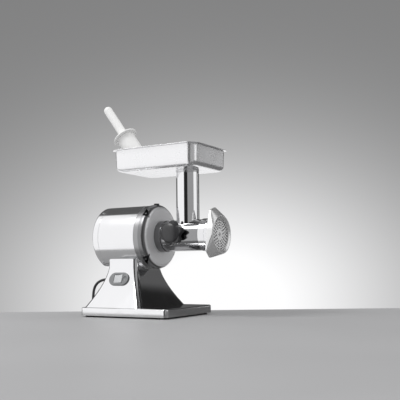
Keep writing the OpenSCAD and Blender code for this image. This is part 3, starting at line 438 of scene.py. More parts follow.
# %% Cord rubber
def cord_rubber():
    finish = Finish("cord_rubber")
    grain = finish.noise(finish.place(), scale=700, detail=3)
    lay = finish.noise(finish.place(), scale=120, detail=1)
    colour = finish.blend(grain, (0.016, 0.016, 0.017), (0.034, 0.034, 0.036))
    return finish.surface(Base_Color=colour, Roughness=0.46 + 0.12 * lay,
                          Normal=finish.bump(lay * 0.7 + grain * 0.3, 0.00012, 0.6))


sheath = cord_rubber()
power_lead.data.materials.append(sheath)


# %% [markdown]
# ## Helpers for shapes
# Most of the machine was turned on a lathe, drawn in a press or rolled from sheet. A turned
# piece is an outline swung round an axis, and a pressed one is a stack of outlines joined by
# a skin. Both builders work in millimetres and end in one function that scales the mesh to
# metres, welds it, turns its faces outwards and marks the edges that should stay crisp.

# %% Finishing a mesh
body_of_node = {node: body for body, row in frame["record"]["behaviour"]["bodies"].items()
                for node in row}
slot_of_node = {row["node"]: row["material_slot"] for row in frame["record"]["subparts"]}
made = []


def finished(name, mesh, finish, crisp=32):
    """Turns millimetre bmesh work into a piece in metres, smooth but for its crisp edges."""
    bmesh.ops.scale(mesh, vec=(MM, MM, MM), verts=mesh.verts)
    bmesh.ops.remove_doubles(mesh, verts=mesh.verts, dist=1e-7)
    bmesh.ops.recalc_face_normals(mesh, faces=mesh.faces)
    data = bpy.data.meshes.new(name)
    mesh.to_mesh(data)
    mesh.free()
    data.shade_smooth()
    data.set_sharp_from_angle(angle=math.radians(crisp))
    piece = bpy.data.objects.new(name, data)
    bpy.context.scene.collection.objects.link(piece)
    data.materials.append(finish)
    return piece


def stands_for(piece, *names):
    """The piece takes these nodes' place and rides on their body."""
    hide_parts(*names)
    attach(piece, body_of_node[names[0]])
    made.append(piece.name)
    print(piece.name, "stands for", ", ".join(names))
    return piece


# %% [markdown]
# ## Rounded outlines
# No real edge is perfectly sharp, and the thin highlight along it is what makes a model look
# solid. Each corner of an outline can carry a radius. A pair of extra points hugs every
# rounding, so that the flat or cylinder next to it keeps its true direction when it is shaded.

# %% Rounded outlines
HUG = 0.06


def rounded(corners, steps=6):
    """A closed outline with its corners rounded; a corner is (r, h) or (r, h, radius)."""
    outline = []
    for i, corner in enumerate(corners):
        here = Vector(corner[:2])
        to_last = Vector(corners[i - 1][:2]) - here
        to_next = Vector(corners[(i + 1) % len(corners)][:2]) - here
        if len(corner) < 3:
            outline.append(here)
            continue
        a, b = to_last.normalized(), to_next.normalized()
        half = a.angle(b) / 2
        middle = here + (a + b).normalized() * corner[2] / math.sin(half)
        first = here + a * corner[2] / math.tan(half) - middle
        last = here + b * corner[2] / math.tan(half) - middle
        side = math.copysign(1, first.x * last.y - first.y * last.x)
        sweep = side * (math.pi - 2 * half)
        outline.append(middle + first + a * HUG)
        for k in range(steps + 1):
            t = sweep * k / steps
            outline.append(middle + Vector((first.x * math.cos(t) - first.y * math.sin(t),
                                            first.x * math.sin(t) + first.y * math.cos(t))))
        outline.append(middle + last + b * HUG)
    return outline


def skin(mesh, rings, closed):
    """Joins rings of points with faces; a ring of one point closes the skin like a pole."""
    pairs = list(zip(rings, rings[1:])) + ([(rings[-1], rings[0])] if closed else [])
    for a, b in pairs:
        count = max(len(a), len(b))
        for k in range(count):
            after = (k + 1) % count
            around = [a[k % len(a)], a[after % len(a)], b[after % len(b)], b[k % len(b)]]
            corners = list(dict.fromkeys(around))
            if len(corners) > 2:
                mesh.faces.new(corners)


def capped(mesh, rings):
    """A skin through rings that is closed with a flat face at each end."""
    skin(mesh, rings, False)
    for end in (rings[0], rings[-1]):
        mesh.faces.new(end)


def turned_into(mesh, corners, place, sides=160, steps=6):
    """Adds an outline of (radius, height) turned round the Z axis of a place."""
    rings = []
    for r, h in rounded(corners, steps):
        if r < 1e-6:
            rings.append([mesh.verts.new(place @ Vector((0, 0, h)))])
        else:
            rings.append([mesh.verts.new(place @ Vector((
                r * math.cos(2 * math.pi * k / sides), r * math.sin(2 * math.pi * k / sides), h)))
                for k in range(sides)])
    skin(mesh, rings, True)


def turned(name, corners, place, finish, sides=160, steps=6, crisp=32):
    mesh = bmesh.new()
    turned_into(mesh, corners, place, sides, steps)
    return finished(name, mesh, finish, crisp)


# The drum's axis, along Y; the height of an outline turned on it is a Y coordinate
drum_axis = Matrix(((1, 0, 0, 0), (0, 0, 1, 0), (0, 1, 0, 201), (0, 0, 0, 1)))

# %% [markdown]
# ## Cutting
# A hole in a shape is a Boolean with a cutter, as a drill or a milling tool is in metal.

# %% Cutting
def as_mesh(piece):
    """The piece with its modifiers applied, as a plain mesh of its own."""
    evaluated = piece.evaluated_get(bpy.context.evaluated_depsgraph_get())
    return bpy.data.meshes.new_from_object(evaluated)


def applied(piece, crisp=32):
    """Bakes a piece's modifiers into its mesh and removes them."""
    data = as_mesh(piece)
    piece.modifiers.clear()
    old = piece.data
    piece.data = data
    bpy.data.meshes.remove(old)
    data.shade_smooth()
    data.set_sharp_from_angle(angle=math.radians(crisp))
    return piece


def cut(piece, cutters, crisp=32, operation="DIFFERENCE"):
    for cutter in cutters:
        step = piece.modifiers.new("cut", "BOOLEAN")
        step.operation, step.object, step.solver = operation, cutter, "EXACT"
    applied(piece, crisp)
    for cutter in cutters:
        bpy.data.objects.remove(cutter)
    return piece


def upright(x=0, y=0, z=0):
    return Matrix.Translation((x, y, z))


def peg(r, low, high, place, sides=64):
    """A plain pin used as a cutter."""
    return turned("cutter", [(0, low), (r, low), (r, high), (0, high)], place, satin_nut, sides)


# %% [markdown]
# ## Pressed and folded sheet
# The base, the pedestal and the tray are sheet shapes whose plan is a rectangle with round
# corners. One function gives that plan at any size, with the same number of points each time,
# so that any two levels can be joined by a skin.

# %% Rectangles with round corners
def plan(half_w, y1, y2, r, z, steps=10):
    """A level of a shape: a rectangle with round corners, as points at a height."""
    hug = min(1.0, r)
    points = []
    for cx, cy, first in ((half_w - r, y2 - r, 0), (r - half_w, y2 - r, 90),
                          (r - half_w, y1 + r, 180), (half_w - r, y1 + r, 270)):
        for k in range(-1, steps + 2):
            a = math.radians(first + 90 * min(max(k, 0), steps) / steps)
            along_side = math.radians(first - 90 if k < 0 else first + 180)
            extra = hug if k in (-1, steps + 1) else 0
            points.append(Vector((cx + r * math.cos(a) + extra * math.cos(along_side),
                                  cy + r * math.sin(a) + extra * math.sin(along_side), z)))
    return points


def pressed(name, levels, finish, closed=False, crisp=32):
    """A skin through levels; an open stack is capped at both ends."""
    mesh = bmesh.new()
    rings = [[mesh.verts.new(p) for p in level] for level in levels]
    if closed:
        skin(mesh, rings, True)
    else:
        capped(mesh, rings)
    return finished(name, mesh, finish, crisp)

# %% [markdown]
# ## The base
# The plinth is one deep-drawn sheet: a shallow tray turned upside down, with its top edge
# rounded by the press. It is made as a skin that climbs the outside, crosses the top and comes
# down again inside by the sheet's thickness.

# %% The plinth
PLINTH_TOP, PLINTH_LOW, SHEET = 24, 4, 2.5


def plinth_level(inset, z):
    return plan(112 - inset, inset - 82, 176 - inset, max(10 - inset, 0.5), z)


plinth_edge = 4
outside = [plinth_level(0, PLINTH_LOW), plinth_level(0, PLINTH_TOP - plinth_edge - 0.1)]
for step in range(13):
    turn = math.radians(90 * step / 12)
    outside.append(plinth_level(plinth_edge * (1 - math.cos(turn)),
                                PLINTH_TOP - plinth_edge * (1 - math.sin(turn))))
outside.append(plinth_level(plinth_edge + 0.1, PLINTH_TOP))
inside = [plinth_level(SHEET, PLINTH_TOP - SHEET), plinth_level(SHEET, PLINTH_LOW)]
mesh = bmesh.new()
rings = [[mesh.verts.new(p) for p in level] for level in outside + inside]
skin(mesh, rings[:len(outside)], False)
skin(mesh, rings[len(outside):], False)
mesh.faces.new(rings[len(outside) - 1])
mesh.faces.new(rings[len(outside)])
skin(mesh, [rings[-1], rings[0]], False)
plinth = stands_for(finished("plinth_shell", mesh, mirror_sheet), "plinth")
print("plinth:", len(plinth.data.polygons), "faces")

# %% [markdown]
# ## The pedestal
# The pedestal is a square column that flares towards the foot like a trumpet, and its top edge
# follows the drum that lies in it. The flare is a power curve of the height. Every upright line
# of the skin runs from the plinth to its own point on the drum, so the seam is exact.

# %% The pedestal
DRUM_Z, DRUM_R, DRUM_BORE = 201, 80.5, 79
FLARE_TOP, FLARE_POWER = 126, 1.5


def flare(z):
    return max(0.0, (FLARE_TOP - z) / (FLARE_TOP - PLINTH_TOP)) ** FLARE_POWER


def column(z, wall, steps=14):
    f = flare(z)
    return plan(58 + 49 * f - wall, 41 - 46 * f + wall, 131 + 40 * f - wall,
                12 + 3 * f - wall, z, steps)


def on_the_drum(x):
    return DRUM_Z - math.sqrt((DRUM_R + 0.05) ** 2 - x * x)


def pedestal_skin(wall, levels=44):
    tops = [on_the_drum(p.x) for p in column(FLARE_TOP, wall)]
    skin_levels = []
    for i in range(levels + 1):
        t = i / levels
        ring = []
        for k, top in enumerate(tops):
            z = PLINTH_TOP + (top - PLINTH_TOP) * t
            ring.append(column(z, wall)[k])
        skin_levels.append(ring)
    return skin_levels


pedestal = pressed("pedestal_column", pedestal_skin(0) + pedestal_skin(SHEET)[::-1],
                   mirror_sheet, closed=True)


def oval(length, width, steps=24):
    """A level of a slot's shape: two half circles joined by straight sides."""
    r = width / 2
    return [Vector(((length / 2 - r) * (1 if k <= steps else -1) + r * math.sin(a),
                    -r * math.cos(a)))
            for k in range(2 * steps + 2)
            for a in [math.pi * (k if k <= steps else k - 1) / steps]]


SWITCH_TILT = math.radians(21.731)
on_switch = (Matrix.Translation((-67.539, 87, 94)) @ Matrix.Rotation(SWITCH_TILT, 4, "Y")
             @ Matrix(((0, 0, -1, 0), (-1, 0, 0, 0), (0, 1, 0, 0), (0, 0, 0, 1))))
# on the switch: X towards the machine's front, Y up its side, Z outwards


def oval_levels(sizes):
    return [[on_switch @ Vector((p.x, p.y, z)) for p in oval(length, width)]
            for length, width, z in sizes]


window = pressed("cutter", oval_levels([(49, 24, -20), (49, 24, 20)]), mirror_sheet)
stands_for(cut(pedestal, [window]), "pedestal")

# %% [markdown]
# ## The motor drum
# The drum is built from four turned pieces: a front casting with a deep rounded shoulder, the
# gearbox ring, the long shell and a pressed rear cap. Each has small rounded edges, and it is
# these that draw the fine dark seams round the drum.

# %% The drum
seam = 0.45
stands_for(turned("gearbox_band", [
    (70, 21.05), (DRUM_R, 21.05, seam), (DRUM_R, 34.95, seam), (70, 34.95)],
    drum_axis, cast_ring, 256), "gearbox_ring")
stands_for(turned("motor_shell", [
    (DRUM_BORE, 35.05), (DRUM_R, 35.05, seam), (DRUM_R, 144.95, seam), (DRUM_BORE, 144.95)],
    drum_axis, turned_drum, 256), "drum_shell")
stands_for(turned("rear_cover", [
    (DRUM_BORE, 145.05), (DRUM_R, 145.05, seam), (DRUM_R, 165, 6), (0, 165), (0, 163.5),
    (DRUM_BORE, 163.5, 4.5)], drum_axis, turned_drum, 256, 10), "rear_cap")

# %% [markdown]
# ## The front casting
# The casting carries the gears behind its polished face. Four bolts hold it, and each head
# sits in a pocket milled into the rounded shoulder. The casting is turned first and the
# pockets are cut from it, as they would be in the workshop.

# %% The front casting
CASTING_R, CASTING_LEN, EDGE_R = 82, 21, 13.5
BOLT_R, POCKET_FLOOR = 75, 18
casting = turned("gear_casting", [
    (27.2, 0), (CASTING_R, 0, EDGE_R), (CASTING_R, CASTING_LEN, 0.5), (58, CASTING_LEN),
    (58, 8), (27.2, 8)], drum_axis, faced_casting, 256, 20)


def pocket(angle, side):
    """A three-cornered pocket in the shoulder: a flat floor and a slanting wall."""
    turn = Matrix.Translation((0, 0, DRUM_Z)) @ Matrix.Rotation(-math.radians(angle), 4, "Y")
    corners = [(-15 * side, POCKET_FLOOR), (15 * side, POCKET_FLOOR), (-15 * side, -2)]
    mesh = bmesh.new()
    ends = [[mesh.verts.new(turn @ Vector((r, y, along))) for along, y in corners]
            for r in (BOLT_R - 4.5, BOLT_R + 15.5)]
    capped(mesh, ends)
    return finished("cutter", mesh, faced_casting)


pocket_places = [(49, 1), (131, -1), (229, 1), (311, -1)]
stands_for(cut(casting, [pocket(a, s) for a, s in pocket_places]), "front_casting")
print("casting:", len(casting.data.polygons), "faces")

# %% [markdown]
# ## Screws
# A screw of each size is turned once and its socket cut; a Geometry Nodes tree then sets a
# copy at each point of a small helper mesh, turned to the direction stored at that point. That
# is how any number of equal fasteners is placed, and a size changed once changes them all.

# %% The screw-setting tree
def setting_tree():
    tree = bpy.data.node_groups.new("set_screws", "GeometryNodeTree")
    face = tree.interface
    face.new_socket("Places", in_out="INPUT", socket_type="NodeSocketGeometry")
    face.new_socket("Screw", in_out="INPUT", socket_type="NodeSocketObject")
    face.new_socket("Size", in_out="INPUT", socket_type="NodeSocketFloat")
    face.new_socket("Finish", in_out="INPUT", socket_type="NodeSocketMaterial")
    face.new_socket("Screws", in_out="OUTPUT", socket_type="NodeSocketGeometry")
    inputs, outputs = tree.nodes.new("NodeGroupInput"), tree.nodes.new("NodeGroupOutput")
    heading = tree.nodes.new("GeometryNodeInputNamedAttribute")
    heading.data_type = "FLOAT_VECTOR"
    heading.inputs["Name"].default_value = "heading"
    align = tree.nodes.new("FunctionNodeAlignRotationToVector")
    align.axis = "Z"
    screw = tree.nodes.new("GeometryNodeObjectInfo")
    copies = tree.nodes.new("GeometryNodeInstanceOnPoints")
    real = tree.nodes.new("GeometryNodeRealizeInstances")
    coat = tree.nodes.new("GeometryNodeSetMaterial")
    link = tree.links.new
    link(heading.outputs["Attribute"], align.inputs["Vector"])
    link(inputs.outputs["Places"], copies.inputs["Points"])
    link(inputs.outputs["Screw"], screw.inputs["Object"])
    link(screw.outputs["Geometry"], copies.inputs["Instance"])
    link(align.outputs["Rotation"], copies.inputs["Rotation"])
    link(inputs.outputs["Size"], copies.inputs["Scale"])
    link(copies.outputs["Instances"], real.inputs["Geometry"])
    link(real.outputs["Geometry"], coat.inputs["Geometry"])
    link(inputs.outputs["Finish"], coat.inputs["Material"])
    link(coat.outputs["Geometry"], outputs.inputs["Screws"])
    return tree


screw_tree = setting_tree()


def give(modifier, name, value):
    """Sets a modifier's input by the identifier of the socket that has this name."""
    for item in modifier.node_group.interface.items_tree:
        if item.item_type == "SOCKET" and item.in_out == "INPUT" and item.name == name:
            modifier[item.identifier] = value


def set_screws(name, places, screw, size, finish):
    """Copies of a screw at (place, direction) pairs, in millimetres."""
    data = bpy.data.meshes.new(name)
    data.from_pydata([Vector(p) * MM for p, _ in places], [], [])
    heading = data.attributes.new("heading", "FLOAT_VECTOR", "POINT")
    for i, (_, direction) in enumerate(places):
        heading.data[i].vector = Vector(direction).normalized()
    piece = bpy.data.objects.new(name, data)
    bpy.context.scene.collection.objects.link(piece)
    setter = piece.modifiers.new("set screws", "NODES")
    setter.node_group = screw_tree
    give(setter, "Screw", screw)
    give(setter, "Size", size)
    give(setter, "Finish", finish)
    piece.update_tag()
    bpy.context.view_layer.update()
    applied(piece)
    print(name, "are", len(places))
    return piece


# %% [markdown]
# A socket head has a rounded rim and a hexagonal hole. The master is turned in millimetres with
# its seat at the origin and its head along Z, so a copy sits right wherever it is set.

# %% The master screws
def master_screw(name, head_r, head_h, socket_r, shank_r, shank, rim):
    screw = turned(name, [(0, -shank), (shank_r, -shank), (shank_r, 0), (head_r, 0, 0.2),
                          (head_r, head_h, rim), (0, head_h)], upright(), bright_screw, 40, 5)
    socket = peg(socket_r, head_h * 0.4, head_h + 1, upright(), 6)
    return cut(screw, [socket])


casting_screw = master_screw("casting_screw", 3.3, 3, 1.8, 2.4, 6, 0.5)
small_screw = master_screw("small_screw", 3, 1.6, 1.65, 1.5, 3, 0.9)
foot_screw = master_screw("foot_screw", 4, 1.6, 2.2, 2, 8, 0.8)


def round_the_drum(angle, r, y):
    a = math.radians(angle)
    return (r * math.cos(a), y, DRUM_Z + r * math.sin(a))


bolts = set_screws("casting_screws", [(round_the_drum(a, BOLT_R, POCKET_FLOOR), (0, -1, 0))
                                      for a, _ in pocket_places], casting_screw, 1, bright_screw)
stands_for(bolts, "casting_bolts")
cap_screws = set_screws("cover_screws", [
    (round_the_drum(a, DRUM_R, 151), Vector(round_the_drum(a, 1, 0)) - Vector((0, 0, DRUM_Z)))
    for a in (53, 127, 233, 307)], small_screw, 1, bright_screw)
stands_for(cap_screws, "rear_cap_screws")
foot_places = [(x, y) for x in (-94, 94) for y in (-64, 158)]
foot_screws = set_screws("underside_screws", [((x, y, 2), (0, 0, -1)) for x, y in foot_places],
                         foot_screw, 1, bright_screw)
stands_for(foot_screws, "foot_screws")
for master in (casting_screw, small_screw, foot_screw):
    bpy.data.objects.remove(master)

# %% [markdown]
# ## Feet and oil plug
# A rubber foot is a low cone with a hole for its screw. All four are one mesh, because they
# belong to one node. The oil plug is a small cap on a stem at the drum's highest point.

# %% Feet
mesh = bmesh.new()
for x, y in foot_places:
    turned_into(mesh, [(2.2, 2), (4.4, 2), (4.4, 0, 0.4), (9.5, 0, 0.8), (11, 1.5, 0.6),
                       (11, 5), (2.2, 5)], upright(x, y), 48, 4)
stands_for(finished("rubber_feet", mesh, foot_rubber), "feet")

# %% Oil plug
plug = turned("oil_cap", [(0, 271.5), (2.5, 271.5), (2.5, 281.55), (7, 281.55, 0.4),
                          (7, 286.5, 1.2), (0, 286.5)], upright(0, 17), black_plastic, 48)
stands_for(plug, "oil_plug")

# %% [markdown]
# ## The mincing head
# The head is a polished tube on the drum's axis with a wider mouth for the plate and the nut.
# It slides on a fixed spigot, whose collar shows as a ring against the casting.

# %% The spigot and the barrel
spigot = turned("head_seat", [
    (13.5, 8), (27, 8), (27, 0), (40, 0), (40, -18, 0.8), (30, -18, 0.5), (30, -66, 0.6),
    (23.1, -66), (23.1, -4.9), (13.5, -4.9)], drum_axis, polished_collar, 192)
stands_for(spigot, "head_spigot")

BARREL_R = 39
barrel = turned("mincing_head", [
    (30.1, -18.25, 0.5), (BARREL_R, -18.25, 1), (BARREL_R, -126, 1.2), (41, -126, 0.9),
    (41, -145, 0.8), (44.5, -145, 1.8), (44.5, -164, 0.6), (41.3, -164, 0.3), (41.3, -150),
    (32.5, -150), (32.5, -70.2), (15.1, -70.2), (15.1, -66.2), (30.1, -66.2)], drum_axis, polished_barrel, 256)

KNOB_PLACE = (-45, -60, 206)
on_the_left = Matrix.Translation(KNOB_PLACE) @ Matrix(
    ((0, 0, -1, 0), (-1, 0, 0, 0), (0, 1, 0, 0), (0, 0, 0, 1)))
pad = turned("cutter", [(0, -10), (11, -10), (11, -2, 0.8), (0, -2)], on_the_left,
             polished_barrel, 96)
cut(barrel, [pad], operation="UNION")

mesh = bmesh.new()
throat = [[mesh.verts.new(Vector((27 * math.cos(a), y, z)))
           for a in [math.pi * k / 48 for k in range(97)]
           for y in [min(-77 + 27 * math.sin(a), -70.25)]] for z in (201, 251)]
capped(mesh, throat)
throat_cutter = finished("cutter", mesh, polished_barrel)
pin_slot = peg(2, -165, -157, Matrix.Translation((0, 0, 41.3)) @ drum_axis, 32)
stands_for(cut(barrel, [throat_cutter, pin_slot]), "head_barrel")
print("barrel:", len(barrel.data.polygons), "faces")

# %% [markdown]
# ## The neck
# The neck is a thin tube that was cut to fit the barrel and welded on. Its lower edge is the
# curve in which two round tubes meet, and a small polished bead runs along it.

# %% The neck tube
NECK_Y, NECK_R, NECK_BORE, NECK_TOP = -77, 29, 27, 360.5
neck_sides = 224


def neck_ring(r, height=None, above=0.0):
    """A ring of the neck, at a height or at a distance above the barrel."""
    ring = []
    for k in range(neck_sides):
        a = 2 * math.pi * k / neck_sides
        x, y = r * math.cos(a), NECK_Y + r * math.sin(a)
        on_barrel = DRUM_Z + math.sqrt(max(BARREL_R ** 2 - x * x, 0.0))
        z = height if height else on_barrel + above
        ring.append(Vector((x, y, z)))
    return ring


bead = 1.6
neck_levels = [neck_ring(NECK_R + bead, above=-0.3)]
for step in range(7):
    turn = math.radians(90 * step / 6)
    neck_levels.append(neck_ring(NECK_R + bead * (1 - math.sin(turn)),
                                 above=bead * (1 - math.cos(turn))))
neck_levels += [neck_ring(NECK_R, above=bead + 0.1), neck_ring(NECK_R, 300)]
neck_levels += [neck_ring(NECK_R, NECK_TOP - 0.7), neck_ring(NECK_R, NECK_TOP - 0.6),
                neck_ring(NECK_R - 0.18, NECK_TOP - 0.18), neck_ring(NECK_R - 0.6, NECK_TOP),
                neck_ring(NECK_BORE + 0.3, NECK_TOP), neck_ring(NECK_BORE, NECK_TOP - 0.3),
                neck_ring(NECK_BORE, above=0.5), neck_ring(NECK_BORE, above=-3)]
stands_for(pressed("feed_neck", neck_levels, polished_neck, closed=True), "neck_tube")

# %% [markdown]
# ## The feed screw
# The screw is a cast core with one blade wound round it. The blade's section is drawn flat and
# turned a little further at each slice along the axis, which is what a helix is.

# %% The feed screw
AUGER_BACK, AUGER_FRONT, TWIST = -71.2, -150.7, 2.25
mesh = bmesh.new()
for outline in (
        [(0, -70.2), (12, -70.2), (12, -150.7, 0.8), (0, -150.7)],
        [(0, -65.2), (12, -65.2), (12, -70.3), (0, -70.3)],
        [(0, -150), (5, -150), (5, -160, 0.6), (0, -160)]):
    turned_into(mesh, outline, drum_axis, 64)
blade = [(11, math.radians(a)) for a in (-34, -17, 0, 17, 34)]
blade += [(22, math.radians(14)), (30.5, math.radians(11.5)), (31.5, math.radians(10)),
          (31.5, math.radians(-10)), (30.5, math.radians(-11.5)), (22, math.radians(-14))]
slices = 220
rings = []
for i in range(slices + 1):
    t = i / slices
    y = AUGER_BACK + (AUGER_FRONT - AUGER_BACK) * t
    rings.append([mesh.verts.new(Vector((
        r * math.cos(a - 2 * math.pi * TWIST * t), y,
        DRUM_Z + r * math.sin(a - 2 * math.pi * TWIST * t)))) for r, a in blade])
capped(mesh, rings)
for half, back, front in ((6.4, -44, -66), (6.5, -150.6, -157.7)):
    corners = [[mesh.verts.new(Vector((half * sx, y, DRUM_Z + half * sz)))
                for sx, sz in ((1, 1), (-1, 1), (-1, -1), (1, -1))] for y in (back, front)]
    capped(mesh, corners)
stands_for(finished("feed_screw", mesh, tinned_screw), "auger")

# %% [markdown]
# ## The hole plate
# Rings of holes fill the plate round a plain hub, six more in each than in the last. A tree of
# Geometry Nodes makes a drill at each hole's place and takes all of them from a plain disc in
# one Boolean. The number of rings, the spacing and the drill's size are its inputs.

# %% The perforating tree
def perforating_tree(first_ring, last_ring):
    tree = bpy.data.node_groups.new("perforate", "GeometryNodeTree")
    face = tree.interface
    face.new_socket("Disc", in_out="INPUT", socket_type="NodeSocketGeometry")
    for name in ("Ring base", "Ring spacing", "Hole radius", "Depth"):
        face.new_socket(name, in_out="INPUT", socket_type="NodeSocketFloat")
    face.new_socket("Bore finish", in_out="INPUT", socket_type="NodeSocketMaterial")
    face.new_socket("Plate", in_out="OUTPUT", socket_type="NodeSocketGeometry")
    inputs, outputs = tree.nodes.new("NodeGroupInput"), tree.nodes.new("NodeGroupOutput")
    link = tree.links.new
    both = tree.nodes.new("GeometryNodeJoinGeometry")
    for n in range(first_ring, last_ring + 1):
        radius = tree.nodes.new("ShaderNodeMath")
        radius.operation = "MULTIPLY_ADD"
        radius.inputs[1].default_value = n
        link(inputs.outputs["Ring spacing"], radius.inputs[0])
        link(inputs.outputs["Ring base"], radius.inputs[2])
        circle = tree.nodes.new("GeometryNodeMeshCircle")
        circle.inputs["Vertices"].default_value = 6 * n
        link(radius.outputs[0], circle.inputs["Radius"])
        turn = tree.nodes.new("GeometryNodeTransform")
        turn.inputs["Rotation"].default_value = (0, 0, math.radians(4 * n))
        link(circle.outputs["Mesh"], turn.inputs["Geometry"])
        link(turn.outputs["Geometry"], both.inputs["Geometry"])
    drill = tree.nodes.new("GeometryNodeMeshCylinder")
    drill.inputs["Vertices"].default_value = 20
    link(inputs.outputs["Hole radius"], drill.inputs["Radius"])
    link(inputs.outputs["Depth"], drill.inputs["Depth"])
    drills = tree.nodes.new("GeometryNodeInstanceOnPoints")
    real = tree.nodes.new("GeometryNodeRealizeInstances")
    bore = tree.nodes.new("GeometryNodeMeshBoolean")
    bore.operation, bore.solver = "DIFFERENCE", "EXACT"
    coat = tree.nodes.new("GeometryNodeSetMaterial")
    link(both.outputs["Geometry"], drills.inputs["Points"])
    link(drill.outputs["Mesh"], drills.inputs["Instance"])
    link(drills.outputs["Instances"], real.inputs["Geometry"])
    # What a drill leaves behind in the disc keeps the drill's own material: the near-black bore, which is
    # painted shade
    link(real.outputs["Geometry"], coat.inputs["Geometry"])
    link(inputs.outputs["Bore finish"], coat.inputs["Material"])
    link(inputs.outputs["Disc"], bore.inputs["Mesh 1"])
    link(coat.outputs["Geometry"], bore.inputs["Mesh 2"])
    link(bore.outputs["Mesh"], outputs.inputs["Plate"])
    return tree


# %% The hole plate
flat_disc = turned("mincing_plate", [
    (5.05, -4.5, 0.3), (41, -4.5, 0.4), (41, 4.5, 0.4), (5.05, 4.5, 0.3)],
    upright(), ground_plate, 192, 4)
perforate = flat_disc.modifiers.new("perforate", "NODES")
perforate.node_group = perforating_tree(2, 5)
for name, value in (("Ring base", 4 * MM), ("Ring spacing", 6.3 * MM),
                    ("Hole radius", 2.25 * MM), ("Depth", 20 * MM), ("Bore finish", shaded_bore)):
    give(perforate, name, value)
flat_disc.update_tag()
bpy.context.view_layer.update()
hole_plate = applied(flat_disc)
# Stand it on the drum's axis: its face looks along -Y, as the disc's looks along Z
hole_plate.data.transform(Matrix.Translation((0, -0.1625, DRUM_Z * MM))
                          @ Matrix.Rotation(math.radians(90), 4, "X"))
stands_for(hole_plate, "hole_plate")
print("plate:", len(hole_plate.data.polygons), "faces")

# %% [markdown]
# ## The ring nut
# Three blunt lugs stand on the nut's rear edge, and straight flanks run from them to the round
# front. Such a shape is easiest to hold by its supports: for each direction, how far out a
# straight edge laid against the outline lies. Between two levels the supports change evenly, and
# the outline's radius is the least that the supports allow.

# %% The ring nut's outline
NUT_SIDES = 360
SLANT_FROM, SLANT_TO, FACE_R = -160, -173, 48
directions = np.radians(np.arange(720) / 2)
lug_support = np.full(720, 48.8)
for lug in np.radians((107, 227, 347)):
    for side in (-10, 10):
        x, z = 60 * np.cos(lug) - side * np.sin(lug), 60 * np.sin(lug) + side * np.cos(lug)
        lug_support = np.maximum(lug_support,
                                 x * np.cos(directions) + z * np.sin(directions) + 6)
away = np.radians(np.arange(NUT_SIDES))[:, None] - directions[None, :]
facing = np.where(np.cos(away) > 0.2, 1 / np.maximum(np.cos(away), 0.2), 1e3)


def nut_level(radii, y):
    return [Vector((r * math.cos(2 * math.pi * k / NUT_SIDES), y,
                    DRUM_Z + r * math.sin(2 * math.pi * k / NUT_SIDES)))
            for k, r in enumerate(radii)]


def lugged(y, inset=0.0, ease=0.06):
    """The outline at a level: full lugs behind the slant, the round face in front of it."""
    slide = (SLANT_FROM - y) / (SLANT_FROM - SLANT_TO)
    if abs(slide) < ease:
        slide = (slide + ease) ** 2 / (4 * ease)
    slide = min(max(slide, 0.0), 1.0)
    support = (1 - slide) * lug_support + slide * FACE_R - inset
    return nut_level((support[None, :] * facing).min(axis=1), y)


# %% The ring nut
nut_levels = [lugged(-156.05, 0.6), lugged(-156.2, 0.2), lugged(-156.6), lugged(-156.7)]
nut_levels += [lugged(SLANT_FROM + 0.9 - 0.2 * k) for k in range(10)]
nut_levels += [lugged(y) for y in (-162.5, -164.5, -166.5, -168.5, -170.2, -171.4, -171.5)]
for step in range(1, 9):
    turn = math.radians(90 * step / 8)
    nut_levels.append(lugged(-171.5 - 2.5 * math.sin(turn), 2.4 * (1 - math.cos(turn))))
for r, y in ((44.9, -174), (44.8, -174), (44.4, -173.85), (44.2, -173.7), (38.9, -171.2),
             (38.7, -171.1), (38.5, -170.8), (38.5, -170.7),
             (38.5, -167.2), (38.5, -167.1), (44.8, -167.1), (44.8, -167), (44.8, -156.6),
             (45.3, -156.05)):
    nut_levels.append(nut_level([r] * NUT_SIDES, y))
stands_for(pressed("ring_nut_piece", nut_levels, satin_nut, closed=True), "ring_nut")

# %% [markdown]
# ## The lock knob
# A hand knob of black plastic: six round lobes to grip, and a smooth domed cap in the middle.
# The lobes are a wave on the radius that is flattened between them, and the cap is turned.

# %% The lock knob
KNOB_SIDES = 240


def lobed(reach, amount):
    """Radii of the grip: round lobes with narrower hollows between them."""
    radii = []
    for k in range(KNOB_SIDES):
        wave = math.cos(6 * (2 * math.pi * k / KNOB_SIDES - math.radians(15)))
        wave = 1 - 2 * ((1 - wave) / 2) ** 1.5
        radii.append(reach - amount * (1 - wave) / 2)
    return radii


def knob_level(radii, h):
    return [on_the_left @ Vector((r * math.cos(2 * math.pi * k / KNOB_SIDES),
                                  r * math.sin(2 * math.pi * k / KNOB_SIDES), h))
            for k, r in enumerate(radii)]


knob_levels = [knob_level([10] * KNOB_SIDES, 0.2), knob_level(lobed(30.9, 6.2), 0),
               knob_level(lobed(31.6, 6.6), 0.4), knob_level(lobed(32, 6.8), 1.1)]
for step in range(8):
    turn = math.radians(90 * step / 7)
    knob_levels.append(knob_level(lobed(32 - 3 * (1 - math.cos(turn)), 6.8 - 0.6 * step / 7),
                                  11 + 3 * math.sin(turn)))
knob_levels += [knob_level([24.9] * KNOB_SIDES, 14), knob_level([24.6] * KNOB_SIDES, 13.7),
                knob_level([24.5] * KNOB_SIDES, 14.0), knob_level([24.5] * KNOB_SIDES, 15.0)]
dome_r, dome_h = 24.5, 7
for step in range(1, 15):
    turn = math.radians(90 * step / 15)
    rise = math.sin(turn)
    knob_levels.append(knob_level([dome_r * (1 - 0.045 * rise) * math.cos(turn) ** 0.9]
                                  * KNOB_SIDES, 15 + dome_h * rise ** 1.1))
mesh = bmesh.new()
rings = [[mesh.verts.new(p) for p in level] for level in knob_levels]
top = [mesh.verts.new(on_the_left @ Vector((0, 0, 22)))]
middle = [mesh.verts.new(on_the_left @ Vector((0, 0, 0.2)))]
skin(mesh, [middle] + rings + [top], False)
